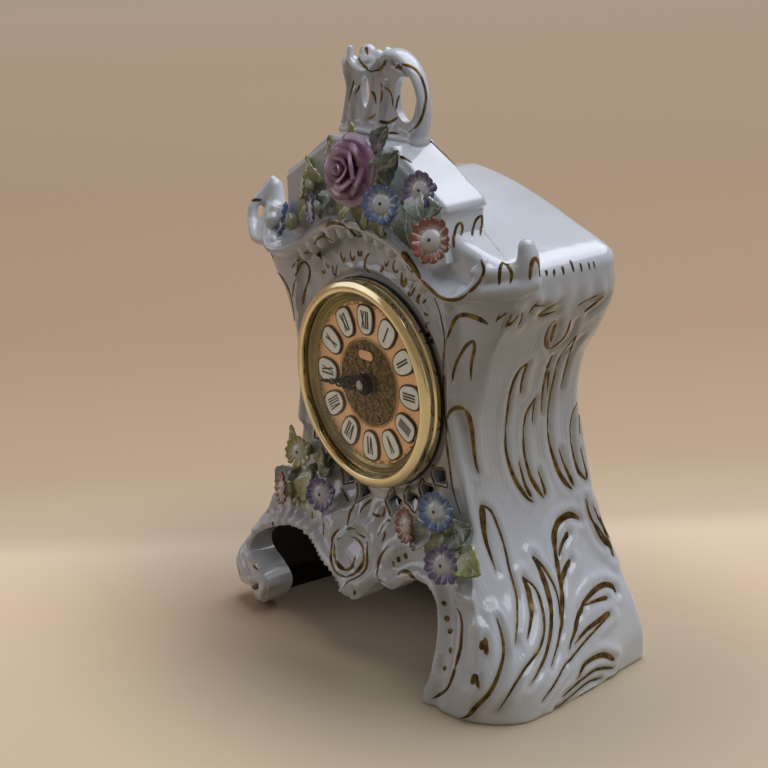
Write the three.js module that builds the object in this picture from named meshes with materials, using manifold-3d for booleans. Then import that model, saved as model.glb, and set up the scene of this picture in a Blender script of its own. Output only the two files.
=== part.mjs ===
// A rococo porcelain mantel clock: a waisted slip-cast case on scroll feet, a pediment with a shell
// crest, hand-made flowers, and a round gilt clock insert with a battery movement behind its dial.
// Millimetres. +Z is up, the dial faces -Y, and the origin is on the ground under the middle of the case.
import * as THREE from "three";
import { mergeVertices } from "three/addons/utils/BufferGeometryUtils.js";
import Module from "manifold-3d";

const wasm = await Module();
wasm.setup();

// Driving dimensions of the case
const WALL = 5.5; // slip-cast wall
const SEAT_GAP = 0.3; // glaze or working gap left between two pieces that meet
const FRONT_Y = -30; // plane of the front panel round the dial
const TOE_Y = -56; // how far the toes reach forward
const BACK_Y = 40; // plane of the upper back wall
const HEEL_Y = 56; // how far the heels reach backward
const ROOF_TOP_Z = 231; // crown of the bell-shaped roof
const EAVE_Z = 203; // roof height at the eaves
const EAVE_HALF = 94; // half width at the eaves
const WAIST_HALF = 65; // half width at the waist, beside the dial
const FOOT_HALF = 108; // half width over the feet at the front
const HEEL_HALF = 95; // half width over the feet at the back
const DIAL_Z = 137; // height of the dial's centre
const LOFT_LEVELS = 22; // heights at which the case is sectioned

// Driving dimensions of the clock insert
const BAND_R = 41.4; // outer radius of the steel band behind the bezel
const BEZEL_LAP = 8.6; // how far the bezel reaches outside the band
const BEZEL_R = BAND_R + BEZEL_LAP;
const BEZEL_H = 9; // how far the bezel stands out of the gasket
const BEZEL_RIM = 5.6; // width of the bezel's rim
const GASKET_T = 0.7;
const HOLE_ROOM = 2.1; // round the band, in the hole of the front panel
const HOLE_R = BAND_R + HOLE_ROOM;
const BAND_T = 0.8;
const BAND_L = 17;
const DIAL_R = BAND_R - BAND_T - SEAT_GAP;
const CRYSTAL_T = 1.4;
const CRYSTAL_DOME = 4.6; // rise of the crystal over its edge
const DIAL_T = 0.8;
const DIAL_DEPTH = 7; // from the bezel's front down to the dial
const BORDER_W = 2.7; // plain edge and embossed border outside the numerals
const NUMERAL_H = 13.2; // height of the numeral cartouches
const CHAPTER_OUTER = DIAL_R - BORDER_W;
const CHAPTER_INNER = CHAPTER_OUTER - NUMERAL_H;
const MEDALLION_R = CHAPTER_INNER - 2.6;
const LATHE_STEPS = 36;

// Driving dimensions of the movement
const HOUSING_WALL = 1.5;
const BATTERY_R = 7.25;
const BATTERY_L = 49;
const CONTACT_ROOM = 2; // past each end of the battery
const MOVEMENT_SIZE = BATTERY_L + 2 * (CONTACT_ROOM + HOUSING_WALL); // square housing
const MOVEMENT_T = 18;
// The housing's corners clear the steel band that surrounds it
const CORNER_ROOM = BAND_R - BAND_T - SEAT_GAP;
const CORNER_R = Math.max(5, (MOVEMENT_SIZE * Math.SQRT1_2 - CORNER_ROOM) / (Math.SQRT2 - 1));
const BUSH_R = 4;
const PIPE_R = 2.6; // hour wheel's pipe
const ARBOR_R = 1.6; // minute arbor
const RUN_GAP = 0.35; // radial clearance of turning pieces
const GEAR_CENTRES = 12; // from the hands' axis to the setting arbor
const GEAR_T = 1.2;
const BACKLASH = 0.12; // taken off each tooth flank
const CANNON_TEETH = 12;
const MINUTE_TEETH = 36;
const PINION_TEETH = 10;
const HOUR_TEETH = 40;
const KNOB_R = 5;
const MINUTE_HAND_L = 33;
const HOUR_HAND_L = 25;
const HANDS_ANGLE = 98; // both hands lie together at about 8:44, counted anticlockwise from XII

// Materials
const porcelain = new THREE.MeshStandardMaterial({ color: 0xe6e9ef, roughness: 0.12 });
const brass = new THREE.MeshStandardMaterial({ color: 0xd9b66a, roughness: 0.15, metalness: 1 });
const steel = new THREE.MeshStandardMaterial({ color: 0xb9bcc0, roughness: 0.3, metalness: 1 });
const black = new THREE.MeshStandardMaterial({ color: 0x17171a, roughness: 0.5 });
const white = new THREE.MeshStandardMaterial({ color: 0xd8d5d0, roughness: 0.4 });
const glass = new THREE.MeshStandardMaterial({
  color: 0xf4f8fa, roughness: 0.02, transparent: true, opacity: 0.35,
});
const rubber = new THREE.MeshStandardMaterial({ color: 0x202020, roughness: 0.9 });
const copper = new THREE.MeshStandardMaterial({ color: 0xb8693a, roughness: 0.4, metalness: 1 });
const board = new THREE.MeshStandardMaterial({ color: 0x2f6b3c, roughness: 0.6 });
const glaze = {
  pink: new THREE.MeshStandardMaterial({ color: 0x8f5578, roughness: 0.2 }),
  blue: new THREE.MeshStandardMaterial({ color: 0x5f7fc0, roughness: 0.2 }),
  violet: new THREE.MeshStandardMaterial({ color: 0x7a6aa8, roughness: 0.2 }),
  orange: new THREE.MeshStandardMaterial({ color: 0xa8553a, roughness: 0.2 }),
  yellow: new THREE.MeshStandardMaterial({ color: 0xd8d48c, roughness: 0.2 }),
  leaf: new THREE.MeshStandardMaterial({ color: 0x8c9c68, roughness: 0.25 }),
};

// Geometry helpers
function signedVolume(geometry) {
  const p = geometry.getAttribute("position");
  const index = geometry.index.array;
  const [a, b, c] = [new THREE.Vector3(), new THREE.Vector3(), new THREE.Vector3()];
  let sum = 0;
  for (let i = 0; i < index.length; i += 3) {
    a.fromBufferAttribute(p, index[i]);
    b.fromBufferAttribute(p, index[i + 1]);
    c.fromBufferAttribute(p, index[i + 2]);
    sum += a.dot(b.cross(c));
  }
  return sum;
}

// A closed geometry as a solid, its faces turned outward.
function solid(geometry) {
  const bare = geometry.clone();
  bare.deleteAttribute("normal");
  bare.deleteAttribute("uv");
  const merged = mergeVertices(bare, 1e-4);
  const triVerts = new Uint32Array(merged.index.array);
  if (signedVolume(merged) < 0) triVerts.reverse();
  const vertProperties = new Float32Array(merged.getAttribute("position").array);
  return new wasm.Manifold(new wasm.Mesh({ numProp: 3, vertProperties, triVerts }));
}

function geometryOf(manifold) {
  const mesh = manifold.getMesh();
  return new THREE.BufferGeometry()
    .setAttribute("position", new THREE.BufferAttribute(new Float32Array(mesh.vertProperties), 3))
    .setIndex(new THREE.BufferAttribute(new Uint32Array(mesh.triVerts), 1));
}

const unite = (solids) => solids.reduce((all, next) => all.add(next));

// A rounded bar through [x, y, z, radius] points; 4 segments make it a square bar, 8 a rounder one.
function chain(points, segments = 8) {
  const knots = points.map(([x, y, z, radius]) => {
    return wasm.Manifold.sphere(radius, segments).translate([x, y, z]);
  });
  return unite(knots.slice(1).map((knot, i) => wasm.Manifold.hull([knots[i], knot])));
}

// A smooth function through hand-set [place, value] pairs, flat outside them, with no overshoot.
function profile(pairs) {
  const n = pairs.length;
  const slope = [];
  for (let i = 0; i < n - 1; i++) {
    slope.push((pairs[i + 1][1] - pairs[i][1]) / (pairs[i + 1][0] - pairs[i][0]));
  }
  const tangent = pairs.map((_, i) => {
    if (i === 0 || i === n - 1) return i ? slope[n - 2] : slope[0];
    const [before, after] = [slope[i - 1], slope[i]];
    return before * after <= 0 ? 0 : (2 * before * after) / (before + after);
  });
  return (place) => {
    const at = Math.min(Math.max(place, pairs[0][0]), pairs[n - 1][0]);
    let i = 0;
    while (i < n - 2 && at > pairs[i + 1][0]) i++;
    const width = pairs[i + 1][0] - pairs[i][0];
    const t = (at - pairs[i][0]) / width;
    const [s, u] = [1 - t, t * t];
    return (
      (1 + 2 * t) * s * s * pairs[i][1] +
      u * (3 - 2 * t) * pairs[i + 1][1] +
      width * t * s * (s * tangent[i] - t * tangent[i + 1])
    );
  };
}

// A closed skin over rings of equal length, closed at both ends by a fan to the ring's middle.
function loft(rings) {
  const count = rings[0].length;
  const positions = rings.flat().flatMap((p) => [p.x, p.y, p.z]);
  const index = [];
  for (let r = 0; r < rings.length - 1; r++)
    for (let i = 0; i < count; i++) {
      const [a, b] = [r * count + i, r * count + ((i + 1) % count)];
      index.push(a, b, b + count, a, b + count, a + count);
    }
  [0, rings.length - 1].forEach((r, end) => {
    const middle = rings[r].reduce((sum, p) => sum.add(p), new THREE.Vector3()).divideScalar(count);
    const hub = positions.length / 3;
    positions.push(middle.x, middle.y, middle.z);
    for (let i = 0; i < count; i++) {
      const [a, b] = [r * count + i, r * count + ((i + 1) % count)];
      index.push(...(end ? [a, b, hub] : [b, a, hub]));
    }
  });
  return new THREE.BufferGeometry()
    .setAttribute("position", new THREE.BufferAttribute(new Float32Array(positions), 3))
    .setIndex(index);
}

const shapeOf = (points) => new THREE.Shape(points.map(([x, y]) => new THREE.Vector2(x, y)));

// A front-view shape (x across, y up) carried from yFront back to yBack.
function slab(shape, yFront, yBack, curveSegments = 12) {
  const depth = yBack - yFront;
  const geometry = new THREE.ExtrudeGeometry(shape, { depth, bevelEnabled: false, curveSegments });
  return geometry.rotateX(Math.PI / 2).translate(0, yBack, 0);
}

// A closed [radius, y] outline turned round the Y axis.
function turned(outline, steps = LATHE_STEPS) {
  const points = outline.map(([r, y]) => new THREE.Vector2(r, y));
  return geometryOf(solid(new THREE.LatheGeometry([...points, points[0].clone()], steps)));
}

// A plain ring or disc on the Y axis, between two radii and two depths.
function ring(inner, outer, yFront, yBack, steps = LATHE_STEPS) {
  const r = Math.max(inner, 0);
  return turned([[r, yFront], [outer, yFront], [outer, yBack], [r, yBack]], steps);
}

function disc(radius, yFront, yBack, steps = LATHE_STEPS) {
  const geometry = new THREE.CylinderGeometry(radius, radius, yBack - yFront, steps);
  return geometry.translate(0, (yFront + yBack) / 2, 0);
}

function block(x0, x1, y0, y1, z0, z1) {
  const box = new THREE.BoxGeometry(x1 - x0, y1 - y0, z1 - z0);
  return box.translate((x0 + x1) / 2, (y0 + y1) / 2, (z0 + z1) / 2);
}

function roundedSquare(half, radius) {
  const shape = new THREE.Shape();
  const straight = half - radius;
  shape.absarc(straight, straight, radius, 0, Math.PI / 2);
  shape.absarc(-straight, straight, radius, Math.PI / 2, Math.PI);
  shape.absarc(-straight, -straight, radius, Math.PI, 1.5 * Math.PI);
  shape.absarc(straight, -straight, radius, 1.5 * Math.PI, 2 * Math.PI);
  return shape;
}

function node(name, geometry, material) {
  const mesh = new THREE.Mesh(geometry, material);
  mesh.name = name;
  return mesh;
}

// The case's outline over its height: each profile gives a size at a height above the ground.
// The toes are scrolls and not a mirrored pair, so the left one has its own profiles.
const frontEdge = profile([
  [0, 73], [22, 82], [42, 84], [60, 77], [80, 67.5], [100, 60], [125, 55], [165, 53], [185, 56],
  [EAVE_Z, 60],
]);
const UPPER_SIDE = [
  [40, 95], [56, 83], [76, 72], [100, 66], [124, WAIST_HALF], [150, WAIST_HALF + 7], [165, 78],
  [180, EAVE_HALF - 6.5], [192, EAVE_HALF - 1.5], [EAVE_Z, EAVE_HALF],
];
const sideFront = {
  right: profile([[0, FOOT_HALF], [12, FOOT_HALF + 0.5], [26, FOOT_HALF - 5], ...UPPER_SIDE]),
  left: profile([
    [0, FOOT_HALF - 8], [8, FOOT_HALF - 2], [18, FOOT_HALF], [26, FOOT_HALF - 4], ...UPPER_SIDE,
  ]),
};
const sideBack = profile([
  [0, HEEL_HALF], [12, HEEL_HALF + 1], [26, HEEL_HALF - 2], [40, 86], [56, 78], [76, 71], [100, 67.5],
  [124, WAIST_HALF + 2], [150, 73], [165, 83], [180, EAVE_HALF - 3], [192, EAVE_HALF - 0.5],
  [EAVE_Z, EAVE_HALF],
]);
const UPPER_FRONT = [
  [30, TOE_Y + 6], [45, TOE_Y + 11], [60, FRONT_Y - 9.5], [73, FRONT_Y - 4], [82, FRONT_Y], [EAVE_Z, FRONT_Y],
];
const frontPlane = {
  right: profile([[0, TOE_Y], [14, TOE_Y + 1], ...UPPER_FRONT]),
  left: profile([[0, TOE_Y + 12], [8, TOE_Y + 7.5], [18, TOE_Y + 5.5], ...UPPER_FRONT]),
};
const backPlane = profile([
  [0, HEEL_Y], [36, HEEL_Y - 3], [71, HEEL_Y - 7], [90, BACK_Y + 7], [105, BACK_Y + 5], [130, BACK_Y + 1],
  [150, BACK_Y],
]);
const UPPER_CORNER = [[80, 15], [130, 10], [165, 8], [180, 6.5], [EAVE_Z, 10]];
const cornerDepth = {
  right: profile([[0, 27], [40, 21], ...UPPER_CORNER]),
  left: profile([[0, 17], [20, 14], [42, 20], ...UPPER_CORNER]),
};
const BACK_CORNER = 7;

// Half of one horizontal section of the case, from the middle of the front to the middle of the back,
// drawn in by an inset for the inside of the wall.
function halfSection(z, inset, side) {
  const edge = frontEdge(z) - inset * 0.6;
  const [front, back] = [sideFront[side](z) - inset, sideBack(z) - inset];
  const [yFront, yBack] = [frontPlane[side](z) + inset, backPlane(z) - inset];
  const depth = cornerDepth[side](z) - inset * 0.4;
  const points = [];
  for (const t of [0, 0.33, 0.66]) points.push([edge * t, yFront]);
  for (let i = 0; i <= 4; i++) {
    const turn = (i / 4) * (Math.PI / 2);
    points.push([edge + (front - edge) * Math.sin(turn), yFront + depth * (1 - Math.cos(turn))]);
  }
  const [start, end] = [yFront + depth, yBack - BACK_CORNER];
  for (const t of [0.25, 0.5, 0.75]) {
    points.push([THREE.MathUtils.lerp(front, back, t), THREE.MathUtils.lerp(start, end, t)]);
  }
  for (let i = 0; i <= 3; i++) {
    const turn = (i / 3) * (Math.PI / 2);
    points.push([back - BACK_CORNER * (1 - Math.cos(turn)), end + BACK_CORNER * Math.sin(turn)]);
  }
  points.push([back / 2, yBack], [0, yBack]);
  return points;
}

function caseSection(z, inset) {
  const left = halfSection(z, inset, "left").slice(1, -1).reverse().map(([x, y]) => [-x, y]);
  return [...halfSection(z, inset, "right"), ...left].map(([x, y]) => new THREE.Vector3(x, y, z));
}

// The bell-shaped roof line, lowered by an inset.
const roofLine = profile([
  [0, ROOF_TOP_Z], [18, ROOF_TOP_Z - 2.6], [44, 221.5], [68, 213], [86, EAVE_Z + 3.5], [EAVE_HALF, EAVE_Z],
]);
function roofSolid(inset) {
  const outline = [[EAVE_HALF + 20, -10], [EAVE_HALF + 20, EAVE_Z - inset]];
  for (let x = EAVE_HALF; x > 0; x -= 11.75) outline.push([x, roofLine(x) - inset]);
  const mirrored = outline.map(([x, z]) => [-x, z]).reverse();
  return solid(slab(shapeOf([...outline, [0, ROOF_TOP_Z - inset], ...mirrored]), TOE_Y - 20, HEEL_Y + 20));
}

function caseSolid(inset, bottom, roofInset) {
  const rings = [];
  for (let i = 0; i <= LOFT_LEVELS; i++) {
    const z = bottom + ((EAVE_Z - bottom) * i) / LOFT_LEVELS;
    rings.push(caseSection(z, inset).map((p) => p.setZ(z)));
  }
  rings.push(caseSection(EAVE_Z, inset).map((p) => p.setZ(ROOF_TOP_Z + 10)));
  return solid(loft(rings)).intersect(roofSolid(roofInset));
}

// The open arch between the feet, its tongue in the middle. The feet are scrolls and not a mirrored pair.
const ARCH = [
  [-90, -5], [-89, 1], [-82, 3], [-76, 7], [-71, 13], [-70, 19], [-76, 25], [-85, 31], [-86, 37], [-80, 43],
  [-70, 48], [-60, 51], [-50, 51.5], [-40, 49], [-30, 43], [-19, 39], [-8, 34], [0, 31.5], [7, 36], [15, 44],
  [21, 45], [27, 44], [33, 49], [41, 52], [50, 51], [57, 46], [61, 38], [63, 27], [63, 15], [59, 7], [57, -5],
];
const ARCH_DEPTH = 21; // the porcelain turns inward round the arch by this much
const ARCH_RIM = 4.5; // thickness of that return
const outlineNormal = ([x0, z0], [x1, z1]) => {
  const length = Math.hypot(x1 - x0, z1 - z0);
  return [-(z1 - z0) / length, (x1 - x0) / length];
};
// The arch as a cutter, its outline grown by a margin.
function archCutter(margin, yFront, yBack) {
  const grown = ARCH.map((point, i) => {
    const [nx, nz] = outlineNormal(ARCH[Math.max(i - 1, 0)], ARCH[Math.min(i + 1, ARCH.length - 1)]);
    return new THREE.Vector2(point[0] + nx * margin, point[1] + nz * margin);
  });
  const shape = new THREE.Shape();
  shape.moveTo(grown[0].x, grown[0].y);
  shape.splineThru(grown.slice(1));
  return solid(slab(shape, yFront, yBack, 2));
}

// Pierced diamonds under the dial
const LATTICE_R = 58;
const LATTICE_ANGLES = [-52, -38.5, -25, -11.5, 11.5, 25, 38.5, 52];
const DIAMOND_HALF_W = 4.8;
const DIAMOND_HALF_H = 5.4;
function latticeSolid() {
  const diamond = shapeOf([
    [-DIAMOND_HALF_W, 0], [0, -DIAMOND_HALF_H], [DIAMOND_HALF_W, 0], [0, DIAMOND_HALF_H],
  ]);
  const cuts = LATTICE_ANGLES.map((degrees) => {
    const turn = THREE.MathUtils.degToRad(degrees);
    const cut = slab(diamond, TOE_Y, FRONT_Y + 3 * WALL).rotateY(-turn);
    return solid(cut.translate(LATTICE_R * Math.sin(turn), 0, DIAL_Z - LATTICE_R * Math.cos(turn)));
  });
  return unite(cuts);
}

const RIM_X = BEZEL_R + 6.5; // raised rim down each side of the dial
// Rolls of clay on the front, as [how far they stand out, radius, [x, z] points]
const FRONT_ROLLS = [
  [3, 3, [[RIM_X, 186], [RIM_X, 164], [RIM_X, 134], [RIM_X + 3.5, 107], [RIM_X + 10.5, 89]]],
  [3, 3, [[-RIM_X, 186], [-RIM_X, 164], [-RIM_X, 134], [-RIM_X - 3.5, 107]]],
  [3, 3.2, [
    [-14, 58], [-17, 53], [-16, 46], [-10, 41], [-2, 40], [6, 42], [11, 48], [12, 55], [8, 61], [1, 65],
    [-6, 65], [-12, 62],
  ]],
  [2.4, 3, [[-8, 34], [-2, 38], [6, 39.5]]],
  [2.6, 4, [[-24, 56], [-22, 64], [-16, 70]]],
  [2.6, 4, [[-31, 61], [-25, 68]]],
  [2.6, 4, [[-8, 73], [-7, 67]]],
  [2.6, 4, [[4, 74], [3, 68]]],
  [2.4, 3.6, [[13, 69], [10, 64]]],
  [2.8, 4.2, [[23, 60], [17, 55], [18, 48], [24, 47.5]]],
  [2, 3.2, [
    [-44, 194], [-36, 203], [-25, 209], [-12, 213], [0, 214], [12, 213], [25, 209], [36, 203], [44, 194],
  ]],
];
// Scrolls of clay on the sides, as [y, z] points; each stands out by SCROLL_OUT.
const SIDE_SCROLLS = [
  [[-24, 92], [-29, 80], [-28, 66]],
  [[-9, 60], [-5, 50], [-8, 40], [-18, 28], [-36, 17]],
  [[35, 75], [25, 78], [12, 70], [6, 54], [-2, 38], [-16, 26]],
  [[44, 39], [36, 45], [24, 44], [10, 38], [-2, 27]],
  [[34, 31], [22, 33], [8, 30]],
  [[31, 10], [20, 18], [6, 17], [-8, 12]],
];
const SCROLL_OUT = 1.5;
const SCROLL_R = 2.4;
// The outside of the case at a depth and a height, as a distance from its middle
function sideOf(side, y, z) {
  const depth = cornerDepth[side](z);
  const [front, back] = [frontPlane[side](z) + depth, backPlane(z) - BACK_CORNER];
  const share = THREE.MathUtils.clamp((y - front) / (back - front), 0, 1);
  const turn = Math.asin(THREE.MathUtils.clamp((front - y) / depth, 0, 1));
  const flat = THREE.MathUtils.lerp(sideFront[side](z), sideBack(z), share);
  return flat - (sideFront[side](z) - frontEdge(z)) * (1 - Math.cos(turn));
}

function reliefSolid() {
  const rolls = FRONT_ROLLS.map(([out, radius, points]) => {
    const plane = ([x, z]) => frontPlane[x < 0 ? "left" : "right"](z);
    return chain(points.map((at) => [at[0], plane(at) + radius - out, at[1], radius]));
  });
  const scrolls = ["left", "right"].flatMap((side) => {
    const turned = side === "left" ? -1 : 1;
    const across = (y, z) => turned * (sideOf(side, y, z) + SCROLL_OUT - SCROLL_R);
    return SIDE_SCROLLS.map((points) => chain(points.map(([y, z]) => [across(y, z), y, z, SCROLL_R]), 4));
  });
  return unite([...rolls, ...scrolls]).trimByPlane([0, 0, 1], 0);
}

const PORT_R = 42; // round opening in the back, for the battery and the setting knob
const bodySolid = caseSolid(0, 0, 0).add(reliefSolid());
function caseBody() {
  const archCut = archCutter(0, TOE_Y - 10, TOE_Y + ARCH_DEPTH + 1);
  const hollow = caseSolid(WALL, -4, WALL).subtract(archCutter(ARCH_RIM, TOE_Y - 10, TOE_Y + ARCH_DEPTH));
  const dialHole = solid(disc(HOLE_R, FRONT_Y - 10, FRONT_Y + 3 * WALL).translate(0, 0, DIAL_Z));
  const port = solid(disc(PORT_R, BACK_Y - 3 * WALL, HEEL_Y).translate(0, 0, DIAL_Z));
  const shell = bodySolid.subtract(hollow).subtract(archCut).subtract(dialHole).subtract(port);
  return shell.subtract(latticeSolid());
}

// Right half of the pediment, mirrored for the left. Outlines are [x, z], bars are [x, y, z, radius].
// Points near the ears have their x measured from the end of the eave.
const fromEave = (points) => points.map(([x, ...rest]) => [EAVE_HALF + x, ...rest]);
const PEDIMENT_BACK_Y = -9;
const GABLE_FRONT_Y = -34;
const GABLE = [
  [0, 252], [20, 250], [40, 238], [57, 228], [58, 212], [60, 205], [51, 200], [43, 202], [32, 208],
  [17, 214.5], [0, 217],
];
const ROOF_TILE_FRONT_Y = -32.5;
const ROOF_TILE = [
  [0, 252], [23, 252], [33, 246], [45, 238], [58.5, 230.5], [59.5, 227], [56, 226], [43, 232], [30, 240],
  [0, 247],
];
const ARCH_MOULDING = [
  [0, -37.5, 214.5, 3.2], [14, -37.5, 213, 3.2], [28, -36, 208, 3], [40, -36, 201, 3], [50, -37, 195.5, 2.8],
  [60, -38.2, 191.8, 2.4],
  ...fromEave([
    [-27, -38.4, 191.2, 2.4], [-21, -36.5, 193.5, 2.4], [-17, -33, 198, 2.5], [-15, -29.5, 204, 2.8],
    [-16, -28, 208, 2.8],
  ]),
];
const EAR_WALL = fromEave([
  [-18, -30, 203, 4], [-11, -25.5, 203, 4.5], [-5, -20, 203.5, 5.2], [-1, -15, 204, 5.6],
]);
const EAR_FOOT = fromEave([
  [-24, -34, 194, 4], [-12, -28, 195, 5], [-3, -21.5, 197, 5.6], [0, -15, 199, 5.4],
]);
const HORN = fromEave([[-4, -20, 198, 5], [-1, -17, 205, 5.6], [-0.6, -16, 210, 5.2], [-1.4, -16, 215, 4.2]]);
// An outer lip, on the left ear alone; it is given as if on the right.
const EAR_LIP = fromEave([
  [-20, -36, 193, 2.6], [-7, -33, 192.5, 3], [2.5, -28, 198, 3], [5, -25, 206, 3], [1.5, -19, 213, 3.6],
  [-0.4, -16.5, 218, 3],
]);
// The dished leaf at each end, from its front edge to the roof
const SCOOP_FRONT = [
  [40, -36, 201], [50, -37, 195.5], [60, -38, 191.5],
  ...fromEave([[-27, -38, 191], [-20, -35, 194.5], [-15, -28, 202]]),
];
const SCOOP_BACK = [
  [46, -28, 204], [52, -22, 205], [58, -14, 206],
  ...fromEave([[-28, -11, 206.5], [-17, -11, 206], [-6, -15, 203]]),
];
const SCOOP_SAG = 3;
const SCOOP_R = 2.2;
function scoopSolid() {
  const rows = SCOOP_FRONT.map((front, i) => {
    const middle = front.map((value, axis) => (value + SCOOP_BACK[i][axis]) / 2);
    middle[2] -= SCOOP_SAG;
    return [front, middle, SCOOP_BACK[i]].map((at) => wasm.Manifold.sphere(SCOOP_R, 4).translate(at));
  });
  const cells = rows.slice(1).flatMap((row, i) => [0, 1].map((j) => (
    wasm.Manifold.hull([row[j], row[j + 1], rows[i][j], rows[i][j + 1]]))));
  return unite(cells);
}

function pedimentSolid() {
  const half = unite([
    solid(slab(shapeOf([...GABLE]), GABLE_FRONT_Y, PEDIMENT_BACK_Y)),
    solid(slab(shapeOf([...ROOF_TILE]), ROOF_TILE_FRONT_Y, PEDIMENT_BACK_Y)),
    chain(ARCH_MOULDING), chain(EAR_WALL), chain(EAR_FOOT), chain(HORN), scoopSolid(),
  ]);
  const seat = bodySolid.scale([1 + SEAT_GAP / EAVE_HALF, 1, 1]).translate([0, -SEAT_GAP, SEAT_GAP]);
  const left = half.add(chain(EAR_LIP)).mirror([1, 0, 0]);
  return half.add(left).subtract(seat);
}

// Crest: a pierced shell on top of the pediment
const CREST = [
  [-31, 0], [-28, 10], [-25, 20], [-28, 28], [-26, 34], [-20, 36], [-16, 40], [-9, 41], [-3, 38], [2, 41],
  [8, 38], [18, 34], [26, 27], [30, 18], [29, 8], [24, 0],
];
const CREST_T = 13;
const CREST_Y = -17; // middle of the crest's thickness
const CREST_BASE_Z = 252;
// middle x, middle z, half width, half height
const CREST_WINDOWS = [[14.5, 15.5, 5, 9], [-12.5, 19, 3, 7.5]];
function crestGeometry() {
  const shape = new THREE.Shape();
  shape.moveTo(CREST[0][0], CREST[0][1]);
  shape.splineThru(CREST.slice(1).map(([x, z]) => new THREE.Vector2(x, z)));
  shape.closePath();
  CREST_WINDOWS.forEach(([x, z, halfW, halfH]) => {
    const hole = new THREE.Path();
    hole.absellipse(x, z, halfW, halfH, 0, 2 * Math.PI);
    shape.holes.push(hole);
  });
  return slab(shape, CREST_Y - CREST_T / 2, CREST_Y + CREST_T / 2, 3);
}

// Flowers: each blossom is turned about its own axis, +Z, on a short peg
const PETALS = 11;
const PEG_L = 14; // length of clay that reaches back to the bed, before it is cut to its seat
function blossom(radius) {
  const steps = PETALS * 2;
  // share of the radius, height, depth of the notches between petals
  const rows = [
    [0.12, -PEG_L, 0], [0.3, -3.4, 0], [0.88, -1.6, 0.1], [1, 1, 0.17], [0.8, 1.6, 0.1], [0.26, 0.4, 0],
    [0.2, 1.5, 0],
  ];
  const rings = rows.map(([share, height, notch]) =>
    Array.from({ length: steps }, (_, i) => {
      const turn = (i / steps) * 2 * Math.PI;
      const r = radius * share * (i % 2 ? 1 - notch : 1);
      return new THREE.Vector3(r * Math.cos(turn), r * Math.sin(turn), height);
    }),
  );
  return loft(rings);
}

// A rose: rings of petals, each ring scalloped and turned from the one below.
function roseCup(radius, petals, rows) {
  const steps = petals * 4;
  const rings = rows.map(([share, height, notch, shift]) =>
    Array.from({ length: steps }, (_, i) => {
      const turn = (i / steps) * 2 * Math.PI;
      const r = radius * share * (1 - notch * Math.abs(Math.sin((petals * turn) / 2 + shift)));
      return new THREE.Vector3(r * Math.cos(turn), r * Math.sin(turn), height);
    }),
  );
  return loft(rings);
}

// A leaf rooted at a point. Its angle is measured in the front view, and its tip tilts forward.
const LEAF_T = 1.8;
function leafSolid(length, width, at, angle, tilt) {
  const shape = new THREE.Shape();
  shape.moveTo(-2, 0);
  shape.quadraticCurveTo(length * 0.4, -width, length, 0);
  shape.quadraticCurveTo(length * 0.4, width, -2, 0);
  const [spin, lean] = [THREE.MathUtils.degToRad(angle), THREE.MathUtils.degToRad(tilt)];
  const turn = new THREE.Matrix4().makeRotationFromEuler(new THREE.Euler(0, -spin, -lean, "YXZ"));
  return solid(slab(shape, -LEAF_T / 2, LEAF_T / 2, 4).applyMatrix4(turn)).translate(at);
}

// A pad of clay on the porcelain, with leaves set in it, cut to its seat.
function spray(pads, leaves, seat) {
  const lumps = pads.map(([x, y, z, rx, ry, rz]) =>
    solid(new THREE.SphereGeometry(1, 10, 6).scale(rx, ry, rz).translate(x, y, z)),
  );
  return unite([...lumps, ...leaves.map((leaf) => leafSolid(...leaf))]).subtract(seat);
}

const largestOf = (made) => made.decompose().sort((a, b) => b.volume() - a.volume())[0];

// A blossom standing at a point and facing a direction, cut to whatever carries it.
function placedBlossom(geometry, at, facing, seat) {
  const axis = new THREE.Vector3(...facing).normalize();
  const turn = new THREE.Quaternion().setFromUnitVectors(new THREE.Vector3(0, 0, 1), axis);
  const placed = solid(geometry.clone().applyQuaternion(turn).translate(...at)).subtract(seat);
  return largestOf(placed);
}

// name, glaze, radius, centre [x, y, z], facing [x, y, z]
const BLOSSOMS = [
  ["top_blue_daisy", "blue", 9.4, [28, -43, 228.5], [0.55, -1, 0.3]],
  ["top_violet_daisy", "violet", 9, [46, -35, 236], [0.35, -1, 0.2]],
  ["top_orange_daisy", "orange", 10.4, [63, -44, 217.5], [0.5, -1, 0.45]],
  ["left_violet_daisy", "violet", 8, [-26, -41.5, 218.5], [-0.45, -1, 0.1]],
  ["left_yellow_daisy", "yellow", 7.5, [-35, -39, 227], [-0.6, -1, 0.25]],
  ["left_blue_daisy", "blue", 9, [-52, -39, 207.5], [-0.75, -1, 0.3]],
  ["lower_yellow_daisy", "yellow", 8.4, [-54, -37, 90], [0.25, -1, 0.25]],
  ["lower_rust_daisy", "orange", 8.6, [-63.5, -41, 69.5], [-0.35, -1, 0.2]],
  ["lower_violet_daisy", "violet", 9.2, [-31, -41, 75.5], [0.3, -1, 0.1]],
  ["base_rust_daisy", "orange", 8.8, [37, -43, 78.5], [-0.2, -1, 0.15]],
  ["base_blue_daisy", "blue", 9.6, [54, -39, 89], [0.3, -1, 0.2]],
  ["base_violet_daisy", "violet", 10, [65, -45, 68], [0.3, -1, 0.1]],
];

// Insert: every piece turns on the Y axis through the dial's centre
const GASKET_BACK = FRONT_Y - SEAT_GAP;
const BEZEL_BACK = GASKET_BACK - GASKET_T - SEAT_GAP;
const BEZEL_FRONT = BEZEL_BACK - BEZEL_H;
const DIAL_FRONT = BEZEL_FRONT + DIAL_DEPTH;
const DIAL_BACK = DIAL_FRONT + DIAL_T;
const BEZEL_INNER = BEZEL_R - BEZEL_RIM;
const CRYSTAL_EDGE = BEZEL_FRONT + 2.4;

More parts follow.
